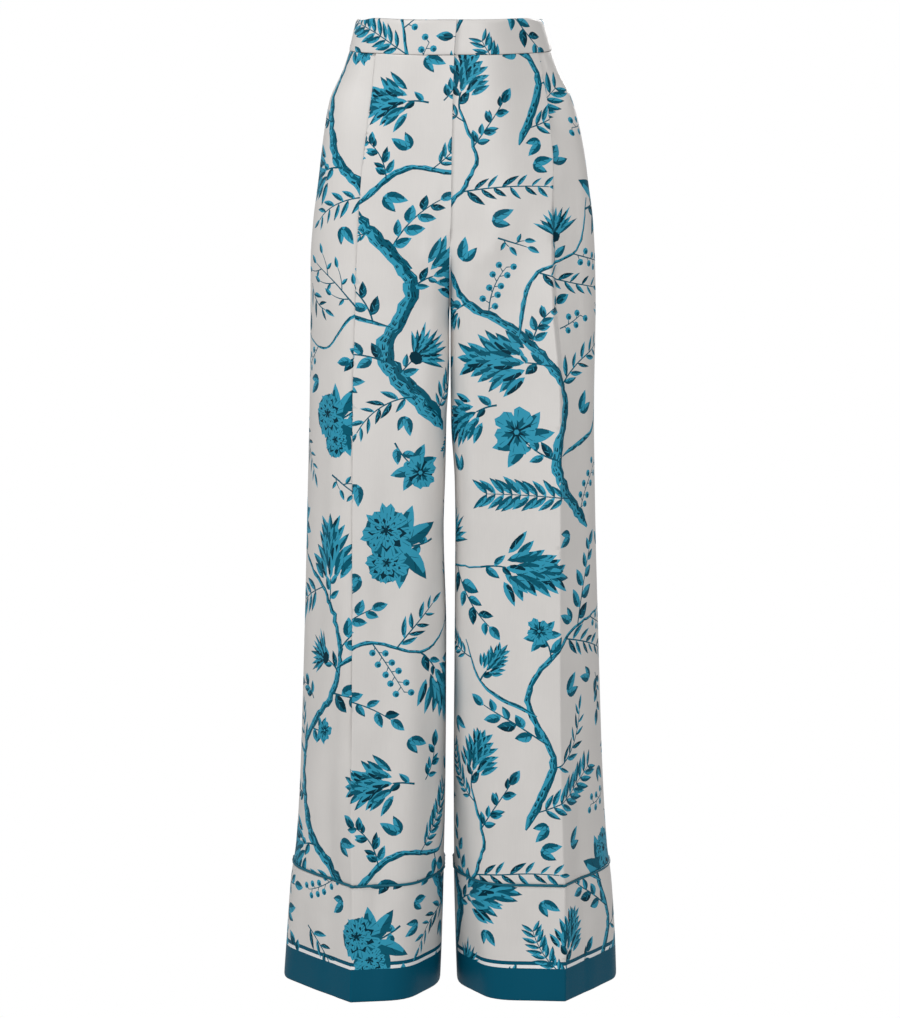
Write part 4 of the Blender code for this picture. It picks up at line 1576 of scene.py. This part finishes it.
CAMERA = {"place": (0.0, -4.0, -0.148), "aim": (0.0, 0.0, -0.550), "lens": 122.0}
LIGHTS = {                # place, size and power of each softbox
    "key": ((-2.32, -1.62, 2.28), 1.4, 54.0),
    "front": ((0.67, -3.8, 0.48), 1.4, 43.0),
    "back": ((1.3, 3.9, 1.1), 1.6, 48.0),
}
SURROUND = 0.42           # strength of the light from all round
WHITE_LIGHT = (1.0, 1.0, 1.0, 1.0)
FLOOR_DROP = 0.45         # the floor's depth below the hem
FLOOR_REACH = 6.8         # radius of the floor and of the wall round it
FLOOR_BEND = 1.5          # radius of the bend between them
WALL_RISE = 5.0           # height of the wall
BEND_STEPS = 12
FLOOR_SIDES = 96


def aimed(made, place_at, aim):
    """Puts an object at a place and turns it to face another."""
    made.location = place_at
    turn = (Vector(aim) - Vector(place_at)).to_track_quat("-Z", "Y")
    made.rotation_euler = turn.to_euler()
    return linked(made)


def camera():
    """The photograph's view."""
    lens = bpy.data.cameras.new("camera")
    lens.lens = CAMERA["lens"]
    made = aimed(bpy.data.objects.new("camera", lens), CAMERA["place"], CAMERA["aim"])
    bpy.context.scene.camera = made


def light(name, place_at, size, power):
    """Square softbox that faces the middle of the garment."""
    lamp = bpy.data.lights.new(name, "AREA")
    lamp.size = size
    lamp.energy = power
    aimed(bpy.data.objects.new(name, lamp), place_at, CAMERA["aim"])


def backdrop(finish):
    """Seamless round floor that curves up into a wall all the way round."""
    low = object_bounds()[0][2] - FLOOR_DROP
    flat = FLOOR_REACH - FLOOR_BEND
    profile = [(0.02, low), (flat, low)]
    for k in range(1, BEND_STEPS + 1):
        turn = pi / 2 * k / BEND_STEPS
        profile.append((flat + FLOOR_BEND * sin(turn), low + FLOOR_BEND * (1 - cos(turn))))
    profile.append((FLOOR_REACH, low + WALL_RISE))
    spots, faces = [], []
    for i, (out, height) in enumerate(profile):
        for k in range(FLOOR_SIDES):
            turn = 2 * pi * k / FLOOR_SIDES
            spots.append((out * cos(turn), out * sin(turn), height))
            m = (k + 1) % FLOOR_SIDES
            if i:
                first, second = (i - 1) * FLOOR_SIDES, i * FLOOR_SIDES
                faces.append((first + k, first + m, second + m, second + k))
    faces.append(tuple(range(FLOOR_SIDES - 1, -1, -1)))
    made = solid("backdrop", spots, faces, [finish])
    made.visible_diffuse = False
    made.visible_glossy = False
    made.visible_shadow = False
    made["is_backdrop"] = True


def stage():
    """Floor, lights and the surrounding light."""
    paper = bpy.data.materials.new("paper")
    paper.use_nodes = True
    shader = paper.node_tree.nodes["Principled BSDF"]
    shader.inputs["Base Color"].default_value = (0.0, 0.0, 0.0, 1.0)
    shader.inputs["Specular IOR Level"].default_value = 0.0
    shader.inputs["Emission Color"].default_value = WHITE_LIGHT
    shader.inputs["Emission Strength"].default_value = 1.0
    backdrop(paper)
    for name, settings in LIGHTS.items():
        light(name, *settings)
    world = bpy.data.worlds.new("surround")
    world.use_nodes = True
    background = world.node_tree.nodes["Background"]
    background.inputs["Color"].default_value = WHITE_LIGHT
    background.inputs["Strength"].default_value = SURROUND
    bpy.context.scene.world = world
    bpy.context.scene.view_settings.view_transform = "Standard"


# ------------------------------------------------------------------- dressing

SHIFTS = {                # where on the cloth each piece was cut, across and down
    "leg_front_right": (200.0, 330.0), "leg_front_left": (520.0, 600.0),
    "leg_back_right": (180.0, 330.0), "leg_back_left": (440.0, 60.0),
    "cuff_front_right": (120.0, 520.0), "cuff_front_left": (410.0, 400.0),
    "cuff_back_right": (20.0, 250.0), "cuff_back_left": (250.0, 90.0),
    "waistband_front_right": (80.0, 300.0), "waistband_front_left": (320.0, 480.0),
    "waistband_back": (200.0, 140.0),
}
SEED = 21                 # of the print
PIPING_SUNK = 0.4         # how far leg and cuff reach in beside the piping
SPANS = {                 # first and last drop
    "waistband": (0.0, WAIST_SEAM - SEAM_GAP / 2),
    "leg": (WAIST_SEAM + SEAM_GAP / 2, CUFF_SEAM - PIPING / 2 + PIPING_SUNK),
    "cuff": (CUFF_SEAM + PIPING / 2 - PIPING_SUNK, HEM),
}
FABRICS = {               # thickness, material slot, and which rows and points are meshed
    "waistband": (BAND_CLOTH, "printed_satin", (1, 1)),
    "leg": (CLOTH, "printed_satin", (2, 1)),
    "cuff": (CUFF_CLOTH, "cuff_satin", (2, 1)),
}


def dress(part, cut, laid, finishes):
    """Makes a cut's shell, ties it to the root body and hides its CAD part."""
    thickness, slot, steps = FABRICS[part.split("_")[0]]
    piece = shell("satin_" + part, cut, laid, thickness, finishes, steps)
    size, area = flat_size(cut)
    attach(piece, "root")
    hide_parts(part)


def waistband(shapes, finishes):
    """Both fronts and the back of the waistband."""
    drops = row_drops(*SPANS["waistband"])
    cuts = {"front_right": band_front_cut(RIGHT, drops), "front_left": band_front_cut(LEFT, drops),
            "back": band_back_cut(drops)}
    for label, cut in cuts.items():
        part = "waistband_" + label
        lower_corners(cut)
        roll(cut, TOP_ROLL)
        dress(part, cut, printed(cut, shapes, SHIFTS[part]), finishes)


def leg(side, shapes, finishes):
    """Front and back of one leg, and of its hem cuff with the hem band over the print."""
    for kind in ("leg", "cuff"):
        for face in PANELS:
            part = f"{kind}_{face}_{LABEL[side]}"
            cut = panel_cut(face, side, row_drops(*SPANS[kind]))
            roll(cut)
            laid = printed(cut, shapes, SHIFTS[part])
            if kind == "cuff":
                laid = [(WHITE, stripe(cut, HEM_LINE[1], HEM_BAND)),
                        (BORDER, stripe(cut, *HEM_LINE)), *laid,
                        (BORDER, stripe(cut, HEM_BAND, HEM + 1))]
            dress(part, cut, laid, finishes)


def piping(side, finish):
    """Cord round the leg in the cuff seam."""
    drops = np.array((CUFF_SEAM - 1, CUFF_SEAM, CUFF_SEAM + 1))
    halves = []
    for face in PANELS:
        cut = panel_cut(face, side, drops)
        halves.append((cut.places + cut.normals * PIPING_OUT)[1, :-1])
    part = "piping_" + LABEL[side]
    piece = tube("cord_" + part, np.vstack(halves), PIPING / 2, finish)
    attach(piece, "root")
    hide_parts(part)


def main():
    """Dress the part and set the stage."""
    *finishes, cord = [satin("satin_" + name, *looks) for name, looks in SATINS.items()]
    shapes = botanical(SEED)
    waistband(shapes, finishes)
    for side in LABEL:
        leg(side, shapes, finishes)
        piping(side, cord)
    stage()
    camera()


main()
